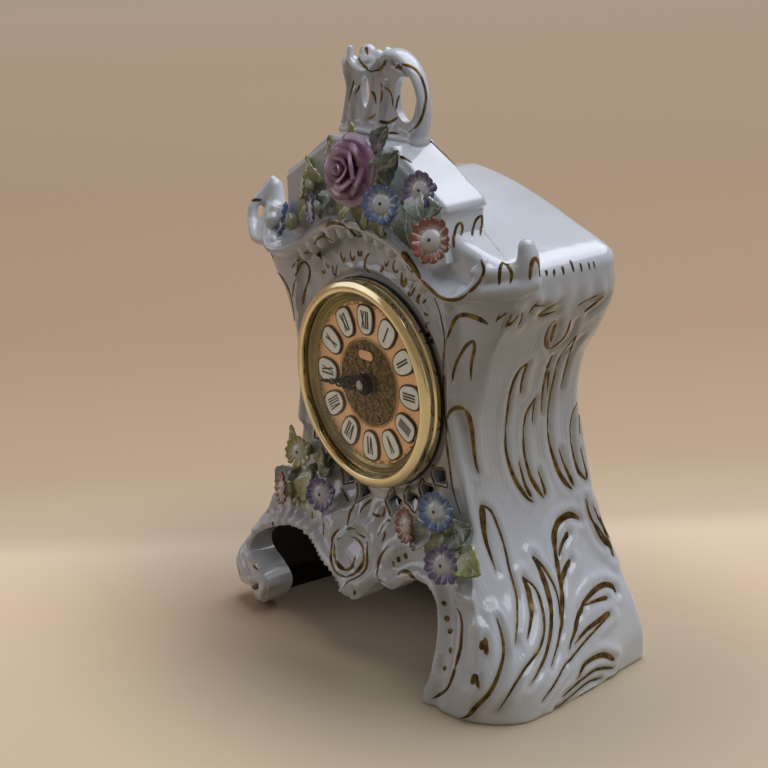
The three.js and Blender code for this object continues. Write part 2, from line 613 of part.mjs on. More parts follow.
function bezelGeometry() {
  return turned([
    [BEZEL_R, BEZEL_BACK], [BEZEL_R, BEZEL_FRONT + 2.6], [BEZEL_R - 0.7, BEZEL_FRONT + 1],
    [BEZEL_R - 2, BEZEL_FRONT + 0.2], [BEZEL_R - 3.4, BEZEL_FRONT], [BEZEL_INNER + 0.8, BEZEL_FRONT + 0.5],
    [BEZEL_INNER, BEZEL_FRONT + 1.3], [BEZEL_INNER, BEZEL_FRONT + 2], [BEZEL_INNER + 1.6, BEZEL_FRONT + 2],
    [BEZEL_INNER + 1.6, BEZEL_BACK],
  ]);
}

function crystalGeometry() {
  const radius = BEZEL_INNER + 1.6 - SEAT_GAP;
  const outer = [];
  const inner = [];
  const steps = 6;
  for (let i = 0; i <= steps; i++) {
    const share = i / steps;
    const rise = CRYSTAL_DOME * (1 - share * share);
    outer.push([radius * share, CRYSTAL_EDGE - rise]);
    inner.unshift([radius * share, CRYSTAL_EDGE - rise + CRYSTAL_T]);
  }
  return turned([...outer, ...inner]);
}

function rehautGeometry() {
  const [top, low] = [BEZEL_INNER + 1.1, DIAL_R - 1.4];
  const [yTop, yLow] = [CRYSTAL_EDGE + CRYSTAL_T + SEAT_GAP, DIAL_FRONT - SEAT_GAP];
  return turned([[top, yTop], [top, yTop + 1], [low + 0.5, yLow], [low, yLow - 0.5], [top - 1.2, yTop]]);
}

function bandSolid() {
  const yFront = BEZEL_BACK - 1;
  const flange = ring(DIAL_R - 2, BAND_R, DIAL_BACK + SEAT_GAP, DIAL_BACK + SEAT_GAP + BAND_T);
  const wall = ring(BAND_R - BAND_T, BAND_R, yFront - 1, BEZEL_BACK + BAND_L);
  const collar = ring(BAND_R - BAND_T, BEZEL_INNER + 1.6 - SEAT_GAP, BEZEL_BACK - 2, BEZEL_BACK - 1);
  const holes = CLIP_ANGLES.map((degrees) => clipHole().rotate([0, degrees, 0]));
  return unite([solid(flange), solid(wall), solid(collar)]).subtract(unite(holes));
}

// Twelve raised cartouches on a thin ring
const CARTOUCHE_T = 0.7;
const RING_T = 0.35;
function chapterSolid() {
  const back = DIAL_FRONT - SEAT_GAP;
  const middle = (CHAPTER_OUTER + CHAPTER_INNER) / 2;
  const [halfW, halfH] = [5.1, (CHAPTER_OUTER - CHAPTER_INNER) / 2];
  const outline = new THREE.Shape();
  outline.absellipse(0, 0, halfW, halfH, 0, 2 * Math.PI);
  const pads = Array.from({ length: 12 }, (_, hour) => {
    const turn = (hour / 12) * 2 * Math.PI;
    const pad = slab(outline, back - CARTOUCHE_T, back, 5).translate(0, 0, middle);
    return solid(pad.rotateY(turn));
  });
  return unite([solid(ring(CHAPTER_INNER + 3, CHAPTER_OUTER - 3, back - RING_T, back)), ...pads]);
}

// Embossed border outside the numerals: a thin ring with beads
const BEADS = 24;
function borderSolid() {
  const back = DIAL_FRONT - SEAT_GAP;
  const [inner, outer] = [CHAPTER_OUTER + 0.3, DIAL_R - 1.8];
  const middle = (inner + outer) / 2;
  const bead = block(-0.55, 0.55, back - 0.9, back, middle - 0.5, middle + 0.5);
  const beads = Array.from({ length: BEADS }, (_, i) => {
    return solid(bead.clone().rotateY((i / BEADS) * 2 * Math.PI));
  });
  return unite([solid(ring(inner, outer, back - 0.4, back)), ...beads]);
}

// Hands, drawn pointing up before they are turned to the hour
const HAND_T = 0.6;
const NUT_T = 1.6;
const NUT_R = 5.6;
const WASHER_R = 9;
const PIPE_TIP_R = PIPE_R - 0.4; // the pipe and the arbor are stepped down to take the hands
const ARBOR_TIP_R = ARBOR_R - 0.3;
const HOUR_HAND_BACK = DIAL_FRONT - SEAT_GAP - NUT_T - 1;
const MINUTE_HAND_BACK = HOUR_HAND_BACK - HAND_T - 0.7;
function handSolid(length, bossR, waist, boreR, yBack) {
  const shape = new THREE.Shape();
  shape.moveTo(waist * 0.5, 0);
  shape.splineThru([
    [waist * 0.5, length * 0.28], [waist * 1.5, length * 0.42], [waist * 0.7, length * 0.56],
    [waist * 1.1, length * 0.7], [waist * 0.35, length * 0.82], [0, length],
  ].map(([x, z]) => new THREE.Vector2(x, z)));
  shape.splineThru([
    [-waist * 0.35, length * 0.82], [-waist * 1.1, length * 0.7], [-waist * 0.7, length * 0.56],
    [-waist * 1.5, length * 0.42], [-waist * 0.5, length * 0.28], [-waist * 0.5, 0],
  ].map(([x, z]) => new THREE.Vector2(x, z)));
  const blade = solid(slab(shape, yBack - HAND_T, yBack, 2));
  const boss = solid(disc(bossR, yBack - HAND_T, yBack, 24));
  const bore = solid(disc(boreR, yBack - 3, yBack + 3, 20));
  return blade.add(boss).subtract(bore).rotate([0, -HANDS_ANGLE, 0]);
}

// A spur wheel on the Y axis, with one tooth's middle at a given angle in the front view.
// The teeth have straight sides and are thinned by the backlash on each flank.
function gearSolid(teeth, mateTeeth, yFront, yBack, toothAt) {
  const module = (2 * GEAR_CENTRES) / (teeth + mateTeeth);
  const pitch = (module * teeth) / 2;
  const [tip, root] = [pitch + 0.85 * module, pitch - 1.1 * module];
  const pitchHalf = Math.PI / 2 / teeth - BACKLASH / pitch;
  const flank = (r) => pitchHalf - ((r - pitch) / module) * (0.55 / teeth) * 1.25;
  const points = [];
  for (let i = 0; i < teeth; i++) {
    const middle = toothAt + (i / teeth) * 2 * Math.PI;
    for (const [r, side] of [[root, -1], [tip, -1], [tip, 1], [root, 1]]) {
      const at = middle + side * flank(r);
      points.push([r * Math.cos(at), r * Math.sin(at)]);
    }
  }
  return solid(slab(shapeOf(points), yFront, yBack));
}

// Movement: housing, train and battery, on the axis of the hands
const MOVEMENT_FRONT = DIAL_BACK + 1.6;
const MOVEMENT_BACK = MOVEMENT_FRONT + MOVEMENT_T;
const SPLIT_Y = MOVEMENT_FRONT + MOVEMENT_T / 2;
const HALF = MOVEMENT_SIZE / 2;
const BATTERY_Z = -HALF + HOUSING_WALL + BATTERY_R + 1.5;
const BATTERY_Y = MOVEMENT_FRONT + MOVEMENT_T / 2;
const HOUR_WHEEL_Y = MOVEMENT_FRONT + HOUSING_WALL + 1;
const MINUTE_WHEEL_Y = HOUR_WHEEL_Y + GEAR_T + 1.2;
const SETTING_TURN = THREE.MathUtils.degToRad(60); // direction of the setting arbor from the hands' axis
const SETTING_AT = [GEAR_CENTRES * Math.cos(SETTING_TURN), GEAR_CENTRES * Math.sin(SETTING_TURN)];
const KNOB_FRONT = MOVEMENT_BACK + 0.8;
const KNOB_L = 5;

const housingInside = () => roundedSquare(HALF - HOUSING_WALL, CORNER_R - HOUSING_WALL);
const atSetting = (cylinder) => solid(cylinder.translate(SETTING_AT[0], 0, SETTING_AT[1]));

function housingSolid() {
  const outer = solid(slab(roundedSquare(HALF, CORNER_R), MOVEMENT_FRONT, SPLIT_Y - SEAT_GAP / 2, 3));
  const inner = solid(slab(housingInside(), MOVEMENT_FRONT + HOUSING_WALL, SPLIT_Y + 5, 3));
  const bush = solid(disc(BUSH_R, DIAL_FRONT - SEAT_GAP - NUT_T - 0.4, MOVEMENT_FRONT + 0.5, 24));
  const bore = solid(disc(PIPE_R + RUN_GAP, DIAL_FRONT - 10, MOVEMENT_FRONT + 5, 24));
  return outer.subtract(inner).add(bush).subtract(bore);
}

const BAY_HALF_L = BATTERY_L / 2 + CONTACT_ROOM;
const COVER_T = 1.6;
const RAIL_HALF_L = HALF - CORNER_R;
const LIP_T = 0.7;
const LIP_Y = MOVEMENT_BACK + SEAT_GAP + COVER_T + SEAT_GAP;
function rearCoverSolid() {
  const outer = solid(slab(roundedSquare(HALF, CORNER_R), SPLIT_Y + SEAT_GAP / 2, MOVEMENT_BACK, 3));
  const inner = solid(slab(housingInside(), SPLIT_Y - 5, MOVEMENT_BACK - HOUSING_WALL, 3));
  const [bayLow, bayHigh] = [BATTERY_Z - BATTERY_R, BATTERY_Z + BATTERY_R];
  const bay = solid(block(-BAY_HALF_L, BAY_HALF_L, MOVEMENT_BACK - 5, MOVEMENT_BACK + 5, bayLow, bayHigh));
  const knobBore = atSetting(disc(ARBOR_R + RUN_GAP, MOVEMENT_BACK - 5, MOVEMENT_BACK + 5, 20));
  const coverEdge = BATTERY_R + 1;
  const rails = [-1, 1].map((side) => {
    const low = coverEdge + SEAT_GAP;
    const post = block(-RAIL_HALF_L, RAIL_HALF_L, MOVEMENT_BACK - 0.3, LIP_Y + LIP_T, low, low + 1.2);
    const lip = block(-RAIL_HALF_L, RAIL_HALF_L, LIP_Y, LIP_Y + LIP_T, coverEdge - 0.9, low + 0.5);
    const rail = solid(post).add(solid(lip));
    return (side > 0 ? rail : rail.mirror([0, 0, 1])).translate([0, 0, BATTERY_Z]);
  });
  return unite([outer.subtract(inner), ...rails]).subtract(bay).subtract(knobBore);
}

function batteryCoverSolid() {
  const half = BAY_HALF_L - 1;
  const edge = BATTERY_R + 1;
  const [inside, outside] = [MOVEMENT_BACK + SEAT_GAP, MOVEMENT_BACK + SEAT_GAP + COVER_T];
  const plate = solid(block(-half, half, inside, outside, BATTERY_Z - edge, BATTERY_Z + edge));
  const grips = [half - 8, half - 6, half - 4].map((x) =>
    solid(block(x, x + 0.8, outside - 0.2, outside + 0.6, BATTERY_Z - 5, BATTERY_Z + 5)),
  );
  return unite([plate, ...grips]);
}

function batterySolid() {
  const canR = BATTERY_R - RUN_GAP;
  const can = new THREE.CylinderGeometry(canR, canR, BATTERY_L, 20).rotateZ(Math.PI / 2);
  const nub = new THREE.CylinderGeometry(2.6, 2.6, 1.4, 12).rotateZ(Math.PI / 2);
  nub.translate(BATTERY_L / 2 + 0.5, 0, 0);
  return solid(can).add(solid(nub)).translate([0, BATTERY_Y, BATTERY_Z]);
}

const BOARD_Y = MINUTE_WHEEL_Y + GEAR_T + 5.2;
const BOARD_T = 1;
const BOARD_Z = 6; // lower edge of the board
const BOARD_HALF = 24;
const CONTACT_TAB = 6;
function contactSolid(side) {
  const x0 = side * (HALF - HOUSING_WALL - SEAT_GAP);
  const x1 = side * (HALF - HOUSING_WALL - SEAT_GAP - 0.5);
  const [low, high] = [Math.min(x0, x1), Math.max(x0, x1)];
  const leaf = block(low, high, BATTERY_Y - 4, BATTERY_Y + 4, BATTERY_Z - 4, BOARD_Z + 4);
  const tabLow = Math.min(x0, x0 - side * CONTACT_TAB);
  const tabY = BOARD_Y + BOARD_T + SEAT_GAP;
  const tab = block(tabLow, tabLow + CONTACT_TAB, tabY, tabY + 0.5, BOARD_Z + 1, BOARD_Z + 4);
  return solid(leaf).add(solid(tab));
}

// The drive: a board, and a coil in front of it
function boardSolid() {
  const plate = solid(block(-BOARD_HALF, BOARD_HALF, BOARD_Y, BOARD_Y + BOARD_T, BOARD_Z, BOARD_Z + 17));
  const hole = atSetting(disc(ARBOR_R + 1.4, BOARD_Y - 3, BOARD_Y + 3, 16));
  return plate.subtract(hole);
}

const COIL = { x: -19, z: 15, r: 3, length: 14 };
function coilGeometry() {
  const end = COIL.length / 2;
  const flange = COIL.r + 1;
  const outline = [
    [1.5, -end], [flange, -end], [flange, 1 - end], [COIL.r, 1 - end], [COIL.r, end - 1], [flange, end - 1],
    [flange, end], [1.5, end],
  ];
  return turned(outline, 16).rotateX(Math.PI / 2).translate(COIL.x, BOARD_Y - SEAT_GAP - COIL.r - 1, COIL.z);
}

// Spring clips that hold the insert in the porcelain, each with a screw into the band
const CLIP_ANGLES = [0, 120, 240];
const CLIP_T = 0.6;
const SCREW_R = 0.9;
const SCREW_HEAD_R = 1.6;
const SCREW_Y = BEZEL_BACK + BAND_L - 4;
function rod(radius, zLow, zHigh, steps) {
  const upright = new THREE.CylinderGeometry(radius, radius, zHigh - zLow, steps).rotateX(Math.PI / 2);
  return upright.translate(0, SCREW_Y, (zLow + zHigh) / 2);
}
const clipHole = () => solid(rod(SCREW_R + SEAT_GAP, BAND_R - 5, BAND_R + 5, 12));
function clipSolid() {
  const back = BEZEL_BACK + BAND_L;
  const r = BAND_R + SEAT_GAP;
  const wallBack = FRONT_Y + WALL + SEAT_GAP;
  const foot = block(-3, 3, wallBack, back - 0.5, r, r + CLIP_T);
  const grip = block(-3, 3, wallBack, wallBack + CLIP_T, r, HOLE_R + 4);
  return solid(foot).add(solid(grip)).subtract(clipHole());
}

function clipScrewSolid() {
  const underHead = BAND_R + SEAT_GAP + CLIP_T + SEAT_GAP;
  const head = rod(SCREW_HEAD_R, underHead, underHead + 1, 16);
  const shank = rod(SCREW_R, BAND_R - BAND_T - 0.7, underHead + 0.5, 12);
  return solid(head).add(solid(shank));
}

// Assembly
const clock = new THREE.Group();
const bouquet = new THREE.Group();
const insert = new THREE.Group();
const movement = new THREE.Group();
insert.position.z = DIAL_Z;
movement.position.z = DIAL_Z;
clock.add(bouquet, insert, movement);

const pediment = pedimentSolid();
clock.add(node("case_body", geometryOf(caseBody()), porcelain));
clock.add(node("pediment", geometryOf(pediment), porcelain));
const crest = node("crest", crestGeometry(), porcelain);
crest.position.z = CREST_BASE_Z + SEAT_GAP;
clock.add(crest);

// What the flowers stand on, brought forward by the seat gap
const crestSolid = solid(crestGeometry().translate(0, 0, CREST_BASE_Z + SEAT_GAP));
const carriers = unite([bodySolid, pediment, crestSolid]);
const ground = carriers.add(carriers.translate([0, -SEAT_GAP, 0]));
// name, pads of clay [x, y, z, half sizes], leaves [length, width, root, angle, tilt]
const SPRAYS = [
  ["top_leaves", [[0, -32, 231, 26, 9, 15], [28, -31, 226, 26, 8, 13], [-32, -31, 219, 20, 7, 11]], [
    [21, 6, [9, -38, 243], 65, 20], [20, 6, [22, -37, 238], 35, 25], [18, 6, [-8, -40, 222], -110, 0],
    [18, 6, [34, -38, 220], -55, 10], [17, 6, [-22, -37, 231], 130, 10], [16, 5, [8, -42, 222], -80, 5],
  ]],
  ["lower_leaves", [[-54, -32, 77, 21, 10, 13]], [
    [20, 7, [-66, -36, 79], 160, 0], [18, 6, [-50, -40, 70], -95, 0], [16, 6, [-60, -36, 86], 110, 5],
  ]],
  ["base_leaves", [[52, -35, 78, 20, 11, 13]], [
    [20, 7, [46, -44, 72], -150, 0], [25, 8, [64, -42, 66], -25, 10], [18, 7, [64, -38, 82], 25, 10],
  ]],
];
const sprays = SPRAYS.map(([name, pads, leaves]) => {
  const largest = largestOf(spray(pads, leaves, ground));
  bouquet.add(node(name, geometryOf(largest), glaze.leaf));
  return largest;
});
const bed = unite([ground, ...sprays, ...sprays.map((s) => s.translate([0, -SEAT_GAP, 0]))]);

// Each blossom is cut to the bed and, grown by the seat gap, out of the blossoms that follow it
const made = [];
function plantBlossom(name, geometry, radius, at, facing, material) {
  const middle = new THREE.Vector3(...at);
  const near = made.filter((other) => other.middle.distanceTo(middle) < other.radius + radius + PEG_L);
  const seat = unite([bed, ...near.map((other) => other.grown)]);
  const placed = placedBlossom(geometry, at, facing, seat);
  const growth = 1 + (1.5 * SEAT_GAP) / radius;
  const grown = placed.translate([-at[0], -at[1], -at[2]]).scale(growth).translate(at);
  made.push({ middle, radius, grown });
  bouquet.add(node(name, geometryOf(placed), material));
}

const ROSE_R = 15.5;
const ROSE_AT = [7, -41, 240.5];
const ROSE_FACING = [0.05, -1, 0.2];
const rosePetals = roseCup(ROSE_R, 5, [
  [0.16, -PEG_L, 0, 0], [0.3, -6, 0, 0], [0.8, -3.5, 0.1, 0], [1, 0.5, 0.16, 0], [0.93, 2.4, 0.16, 0],
  [0.7, 0, 0.1, 0.9], [0.52, -2, 0, 0],
]);
const roseHeart = roseCup(ROSE_R, 4, [
  [0.46, -1.5, 0, 0], [0.62, 1.8, 0.08, 0.6], [0.6, 5, 0.1, 0.6], [0.48, 4, 0, 0], [0.42, 6.4, 0.12, 0.2],
  [0.2, 5, 0, 0], [0.14, 7.2, 0.1, 0],
]);
plantBlossom("rose_petals", rosePetals, ROSE_R, ROSE_AT, ROSE_FACING, glaze.pink);
plantBlossom("rose_heart", roseHeart, ROSE_R, ROSE_AT, ROSE_FACING, glaze.pink);
BLOSSOMS.forEach(([name, colour, radius, at, facing]) => {
  plantBlossom(name, blossom(radius), radius, at, facing, glaze[colour]);
});

const bushHole = BUSH_R + SEAT_GAP;
const washerBack = MOVEMENT_FRONT - SEAT_GAP;
const dialTop = DIAL_FRONT - SEAT_GAP; // what lies on the dial plate ends here
const hourHand = handSolid(HOUR_HAND_L, 5.4, 2.5, PIPE_TIP_R + RUN_GAP, HOUR_HAND_BACK);
const minuteHand = handSolid(MINUTE_HAND_L, 4.4, 1.7, ARBOR_TIP_R + RUN_GAP, MINUTE_HAND_BACK);
insert.add(
  node("gasket", ring(HOLE_R - 0.8, BEZEL_R + 0.6, GASKET_BACK - GASKET_T, GASKET_BACK), rubber),
  node("bezel", bezelGeometry(), brass),
  node("crystal", crystalGeometry(), glass),
  node("rehaut", rehautGeometry(), brass),
  node("insert_band", geometryOf(bandSolid()), steel),
  node("dial_plate", ring(bushHole, DIAL_R, DIAL_FRONT, DIAL_BACK), brass),
  node("dial_washer", ring(bushHole, WASHER_R, DIAL_BACK + SEAT_GAP, washerBack, 24), rubber),
  node("chapter_ring", geometryOf(chapterSolid()), white),
  node("dial_border", geometryOf(borderSolid()), brass),
  node("medallion", ring(NUT_R + 0.4, MEDALLION_R, dialTop - 0.5, dialTop), brass),
  node("blank_cartouche", block(-5.5, 5.5, dialTop - 1.2, dialTop - 0.8, 11.5, 16), copper),
  node("fixing_nut", ring(BUSH_R + RUN_GAP, NUT_R, dialTop - NUT_T, dialTop, 24), brass),
  node("hour_hand", geometryOf(hourHand), black),
  node("minute_hand", geometryOf(minuteHand), black),
);
CLIP_ANGLES.forEach((degrees, i) => {
  const clip = node(`spring_clip_${i + 1}`, geometryOf(clipSolid()), steel);
  const screw = node(`clip_screw_${i + 1}`, geometryOf(clipScrewSolid()), steel);
  const mount = new THREE.Group();
  mount.rotation.y = THREE.MathUtils.degToRad(degrees);
  mount.add(clip, screw);
  insert.add(mount);
});

// The minute arbor runs through the hour wheel's pipe and carries the minute hand and its cap
const CAP_BACK = MINUTE_HAND_BACK - HAND_T - SEAT_GAP;
const wheelBack = MINUTE_WHEEL_Y + GEAR_T;
const cannonPinion = gearSolid(CANNON_TEETH, MINUTE_TEETH, MINUTE_WHEEL_Y, wheelBack, SETTING_TURN);
const arbor = solid(disc(ARBOR_R, HOUR_WHEEL_Y - 4, wheelBack + 2, 20));
const arborTip = solid(disc(ARBOR_TIP_R, CAP_BACK + 0.4, HOUR_WHEEL_Y - 3, 20));
movement.add(node("minute_arbor", geometryOf(unite([cannonPinion, arbor, arborTip])), steel));
const hourTooth = SETTING_TURN + Math.PI / HOUR_TEETH;
const hourWheel = gearSolid(HOUR_TEETH, PINION_TEETH, HOUR_WHEEL_Y, HOUR_WHEEL_Y + GEAR_T, hourTooth);
const pipe = solid(disc(PIPE_R, HOUR_WHEEL_Y - 2, HOUR_WHEEL_Y + 0.2, 24));
const pipeTip = solid(disc(PIPE_TIP_R, HOUR_HAND_BACK - HAND_T - 0.2, HOUR_WHEEL_Y - 1, 24));
const pipeBore = solid(disc(ARBOR_R + RUN_GAP, -60, 0, 20));
const wheelAndPipe = unite([hourWheel, pipe, pipeTip]).subtract(pipeBore);
movement.add(node("hour_wheel", geometryOf(wheelAndPipe), brass));
const capOutline = [
  [0, CAP_BACK], [2.4, CAP_BACK], [2.4, CAP_BACK - 0.7], [1.6, CAP_BACK - 1.4], [0, CAP_BACK - 1.7],
];
movement.add(node("hand_cap", turned(capOutline, 20), brass));

// The setting arbor: minute wheel and pinion on one stem that ends in the knob
const mateAt = SETTING_TURN + Math.PI; // direction from the setting arbor back to the hands' axis
const minuteGap = mateAt + Math.PI / MINUTE_TEETH;
const minuteWheel = gearSolid(MINUTE_TEETH, CANNON_TEETH, MINUTE_WHEEL_Y, wheelBack, minuteGap);
const settingPinion = gearSolid(PINION_TEETH, HOUR_TEETH, HOUR_WHEEL_Y, MINUTE_WHEEL_Y + 0.2, mateAt);
const stem = solid(disc(ARBOR_R, MINUTE_WHEEL_Y, KNOB_FRONT - SEAT_GAP, 20));
const setting = new THREE.Group();
setting.position.set(SETTING_AT[0], 0, SETTING_AT[1]);
setting.add(node("minute_wheel", geometryOf(unite([minuteWheel, settingPinion, stem])), brass));
const knobOutline = shapeOf(
  Array.from({ length: 32 }, (_, i) => {
    const turn = (i / 32) * 2 * Math.PI;
    const r = KNOB_R - (i % 2 ? 0.35 : 0);
    return [r * Math.cos(turn), r * Math.sin(turn)];
  }),
);
setting.add(node("setting_knob", slab(knobOutline, KNOB_FRONT, KNOB_FRONT + KNOB_L), white));
movement.add(setting);

movement.add(node("movement_housing", geometryOf(housingSolid()), black));
movement.add(node("rear_cover", geometryOf(rearCoverSolid()), black));
movement.add(node("battery_cover", geometryOf(batteryCoverSolid()), black));
movement.add(node("battery", geometryOf(batterySolid()), copper));
movement.add(node("contact_plus", geometryOf(contactSolid(1)), steel));
movement.add(node("contact_minus", geometryOf(contactSolid(-1)), steel));
movement.add(node("circuit_board", geometryOf(boardSolid()), board));
movement.add(node("coil", coilGeometry(), copper));

export default clock;
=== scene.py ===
# A rococo porcelain mantel clock with gilded relief, hand-made flowers and a round clock insert.
# Sizes are in millimetres unless a name says otherwise. +Z is up and the dial faces -Y.
import math

import bmesh
import bpy
import numpy as np
from mathutils import Matrix, Vector
from mathutils.bvhtree import BVHTree


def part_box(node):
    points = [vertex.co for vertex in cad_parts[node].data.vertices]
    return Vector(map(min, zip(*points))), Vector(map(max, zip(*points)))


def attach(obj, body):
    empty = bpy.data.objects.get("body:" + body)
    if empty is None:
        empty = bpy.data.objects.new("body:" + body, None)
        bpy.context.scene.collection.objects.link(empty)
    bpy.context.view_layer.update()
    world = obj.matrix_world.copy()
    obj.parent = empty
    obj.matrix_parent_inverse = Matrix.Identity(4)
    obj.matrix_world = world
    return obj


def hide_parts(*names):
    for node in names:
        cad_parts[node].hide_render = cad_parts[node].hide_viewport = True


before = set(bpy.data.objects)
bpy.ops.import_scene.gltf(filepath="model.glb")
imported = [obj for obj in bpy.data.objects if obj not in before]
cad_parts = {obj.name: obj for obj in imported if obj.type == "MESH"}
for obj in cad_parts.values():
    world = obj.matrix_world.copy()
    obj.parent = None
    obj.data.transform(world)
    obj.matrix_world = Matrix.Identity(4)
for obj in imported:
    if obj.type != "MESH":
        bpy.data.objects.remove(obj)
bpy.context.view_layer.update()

MM = 0.001

# The camera, where the photographer stood
CAMERA_AT = Vector((0.74825, -0.60493, 0.43273))
CAMERA_TARGET = Vector((-0.10682, 0.058, 0.09188))
CAMERA_ROLL = math.radians(-2.406)
FOCAL_PX = 2104.66
IMAGE_PX = 768


def make_camera():
    """The camera, and its right, up and backward directions."""
    back = (CAMERA_AT - CAMERA_TARGET).normalized()
    right = Vector((0, 0, 1)).cross(back).normalized()
    up = back.cross(right)
    c, s = math.cos(CAMERA_ROLL), math.sin(CAMERA_ROLL)
    rolled_right = c * right + s * up
    rolled_up = c * up - s * right
    data = bpy.data.cameras.new("camera")
    data.sensor_width = 36.0
    data.lens = FOCAL_PX / IMAGE_PX * data.sensor_width
    camera = bpy.data.objects.new("camera", data)
    turn = Matrix((rolled_right, rolled_up, back)).transposed().to_4x4()
    camera.matrix_world = Matrix.Translation(CAMERA_AT) @ turn
    bpy.context.scene.collection.objects.link(camera)
    bpy.context.scene.camera = camera
    return rolled_right, rolled_up, back


camera_right, camera_up, camera_back = make_camera()
bpy.context.scene.view_settings.view_transform = "Standard"


def photo_ray(px, py):
    """Direction from the camera through a point of the photograph."""
    half = IMAGE_PX / 2
    across = (px - half) / FOCAL_PX
    down = (py - half) / FOCAL_PX
    return (camera_right * across - camera_up * down - camera_back).normalized()


# Colours and nodes
def colour(code):
    """An sRGB hex colour as linear RGBA."""
    parts = [int(code[i:i + 2], 16) / 255 for i in (1, 3, 5)]
    linear = [p / 12.92 if p <= 0.04045 else ((p + 0.055) / 1.055) ** 2.4 for p in parts]
    return (*linear, 1.0)


def fill(tree, node, inputs):
    """Gives each named or numbered input its value, or links it where the value is a socket."""
    for name, value in inputs.items():
        socket = node.inputs[name]
        if isinstance(value, bpy.types.NodeSocket):
            tree.links.new(value, socket)
        else:
            socket.default_value = value


def add_node(tree, kind, inputs=None, **settings):
    """A node of a kind, its settings, and its inputs as values or as sockets to link."""
    node = tree.nodes.new(kind)
    for name, value in settings.items():
        setattr(node, name, value)
    fill(tree, node, inputs or {})
    return node


def new_material(name):
    """An empty material: its tree, its shader and its Object coordinates."""
    material = bpy.data.materials.new(name)
    material.use_nodes = True
    tree = material.node_tree
    shader = next(n for n in tree.nodes if n.type == "BSDF_PRINCIPLED")
    place = add_node(tree, "ShaderNodeTexCoord").outputs["Object"]
    return material, tree, shader, place


def pattern_scale(size_mm):
    """Scale of a pattern on Object coordinates whose cells are about size_mm across."""
    return 1 / (size_mm * MM)


def set_ramp(ramp, stops):
    """Colours or greys at places along a colour ramp, and the colour that it gives."""
    elements = ramp.color_ramp.elements
    while len(elements) < len(stops):
        elements.new(0.5)
    for element, (at, value) in zip(elements, stops):
        element.position = at
        element.color = colour(value) if isinstance(value, str) else (value, value, value, 1.0)
    return ramp.outputs["Color"]


# Finishes. Each function's note says what the finish gives the eye.
def glazed_porcelain(name, body, pooled_and_shaded, ribs=False):
    """Hard-paste porcelain, slip-cast and glazed: clear glass over a cool white body, deeper in hollows, with
    painted shade where the mesh marks faces that look down and the unlit inside.
    """
    material, tree, shader, place = new_material(name)
    # hollow: glaze pooled in grooves, plus painted shade on faces that look down
    hollow = add_node(tree, "ShaderNodeAttribute", attribute_name="hollow").outputs["Fac"]
    drift = add_node(tree, "ShaderNodeTexNoise", {"Vector": place, "Scale": pattern_scale(45.5),
                                                  "Detail": 3.0})
    drift_mask = set_ramp(add_node(tree, "ShaderNodeValToRGB", {"Fac": drift.outputs["Fac"]}),
                          [(0.35, 0.0), (0.75, 0.35)])
    depth = add_node(tree, "ShaderNodeMath", {0: hollow, 1: drift_mask}, operation="MAXIMUM")
    tint = add_node(tree, "ShaderNodeMix", {0: depth.outputs[0], 6: colour(body), 7: colour(pooled_and_shaded)},
                    data_type="RGBA").outputs[2]
    # kiln specks half a millimetre across, about 22 mm apart
    speck = add_node(tree, "ShaderNodeTexVoronoi", {"Vector": place, "Scale": pattern_scale(22.2)},
                     feature="F1")
    speck_mask = set_ramp(add_node(tree, "ShaderNodeValToRGB", {"Fac": speck.outputs["Distance"]}),
                          [(0.0, 0.35), (0.012, 0.0)])
    tint = add_node(tree, "ShaderNodeMix", {0: speck_mask, 6: tint, 7: colour("#8a8072")},
                    data_type="RGBA").outputs[2]
    # the glaze waves over about 9 mm, and its skin over 1.5 mm
    wave = add_node(tree, "ShaderNodeTexNoise", {"Vector": place, "Scale": pattern_scale(9.1), "Detail": 2.0})
    skin = add_node(tree, "ShaderNodeTexNoise", {"Vector": place, "Scale": pattern_scale(1.54),
                                                 "Detail": 1.0})
    height = add_node(tree, "ShaderNodeMath", {0: skin.outputs["Fac"], 1: 0.12}, operation="MULTIPLY")
    total = add_node(tree, "ShaderNodeMath", {0: wave.outputs["Fac"], 1: height.outputs[0]}, operation="ADD")
    if ribs:
        # painted shade: the unglazed inside of the shell and the walls of the lattice's holes are darkened
        # near to black, as if unlit
        inside_shade = add_node(tree, "ShaderNodeAttribute", attribute_name="inside_shade").outputs["Fac"]
        tint = add_node(tree, "ShaderNodeMix", {0: inside_shade, 6: tint, 7: colour("#231c14")},
                        data_type="RGBA").outputs[2]
        # combed ribs RIB_PITCH apart that run down the walls
        comb = add_node(tree, "ShaderNodeAttribute", attribute_name="comb_phase").outputs["Fac"]
        mask = add_node(tree, "ShaderNodeAttribute", attribute_name="comb_mask").outputs["Fac"]
        phase = add_node(tree, "ShaderNodeMath", {0: comb, 1: 2 * math.pi}, operation="MULTIPLY")
        rib = add_node(tree, "ShaderNodeMath", {0: phase.outputs[0]}, operation="SINE")
        ribbed = add_node(tree, "ShaderNodeMath", {0: rib.outputs[0], 1: mask}, operation="MULTIPLY")
        total = add_node(tree, "ShaderNodeMath", {0: ribbed.outputs[0], 1: 0.2, 2: total.outputs[0]},
                         operation="MULTIPLY_ADD")
    bump = add_node(tree, "ShaderNodeBump", {"Height": total.outputs[0], "Strength": 0.35,
                                             "Distance": 0.3 * MM})
    rough = add_node(tree, "ShaderNodeMapRange", {"Value": drift.outputs["Fac"], "To Min": 0.06,
                                                  "To Max": 0.16})
    fill(tree, shader, {"Base Color": tint, "Normal": bump.outputs["Normal"],
                        "Roughness": rough.outputs["Result"], "IOR": 1.52, "Coat Weight": 0.6,
                        "Coat Roughness": 0.03, "Subsurface Weight": 0.12,
                        "Subsurface Radius": (0.0016, 0.0014, 0.0012)})
    return material


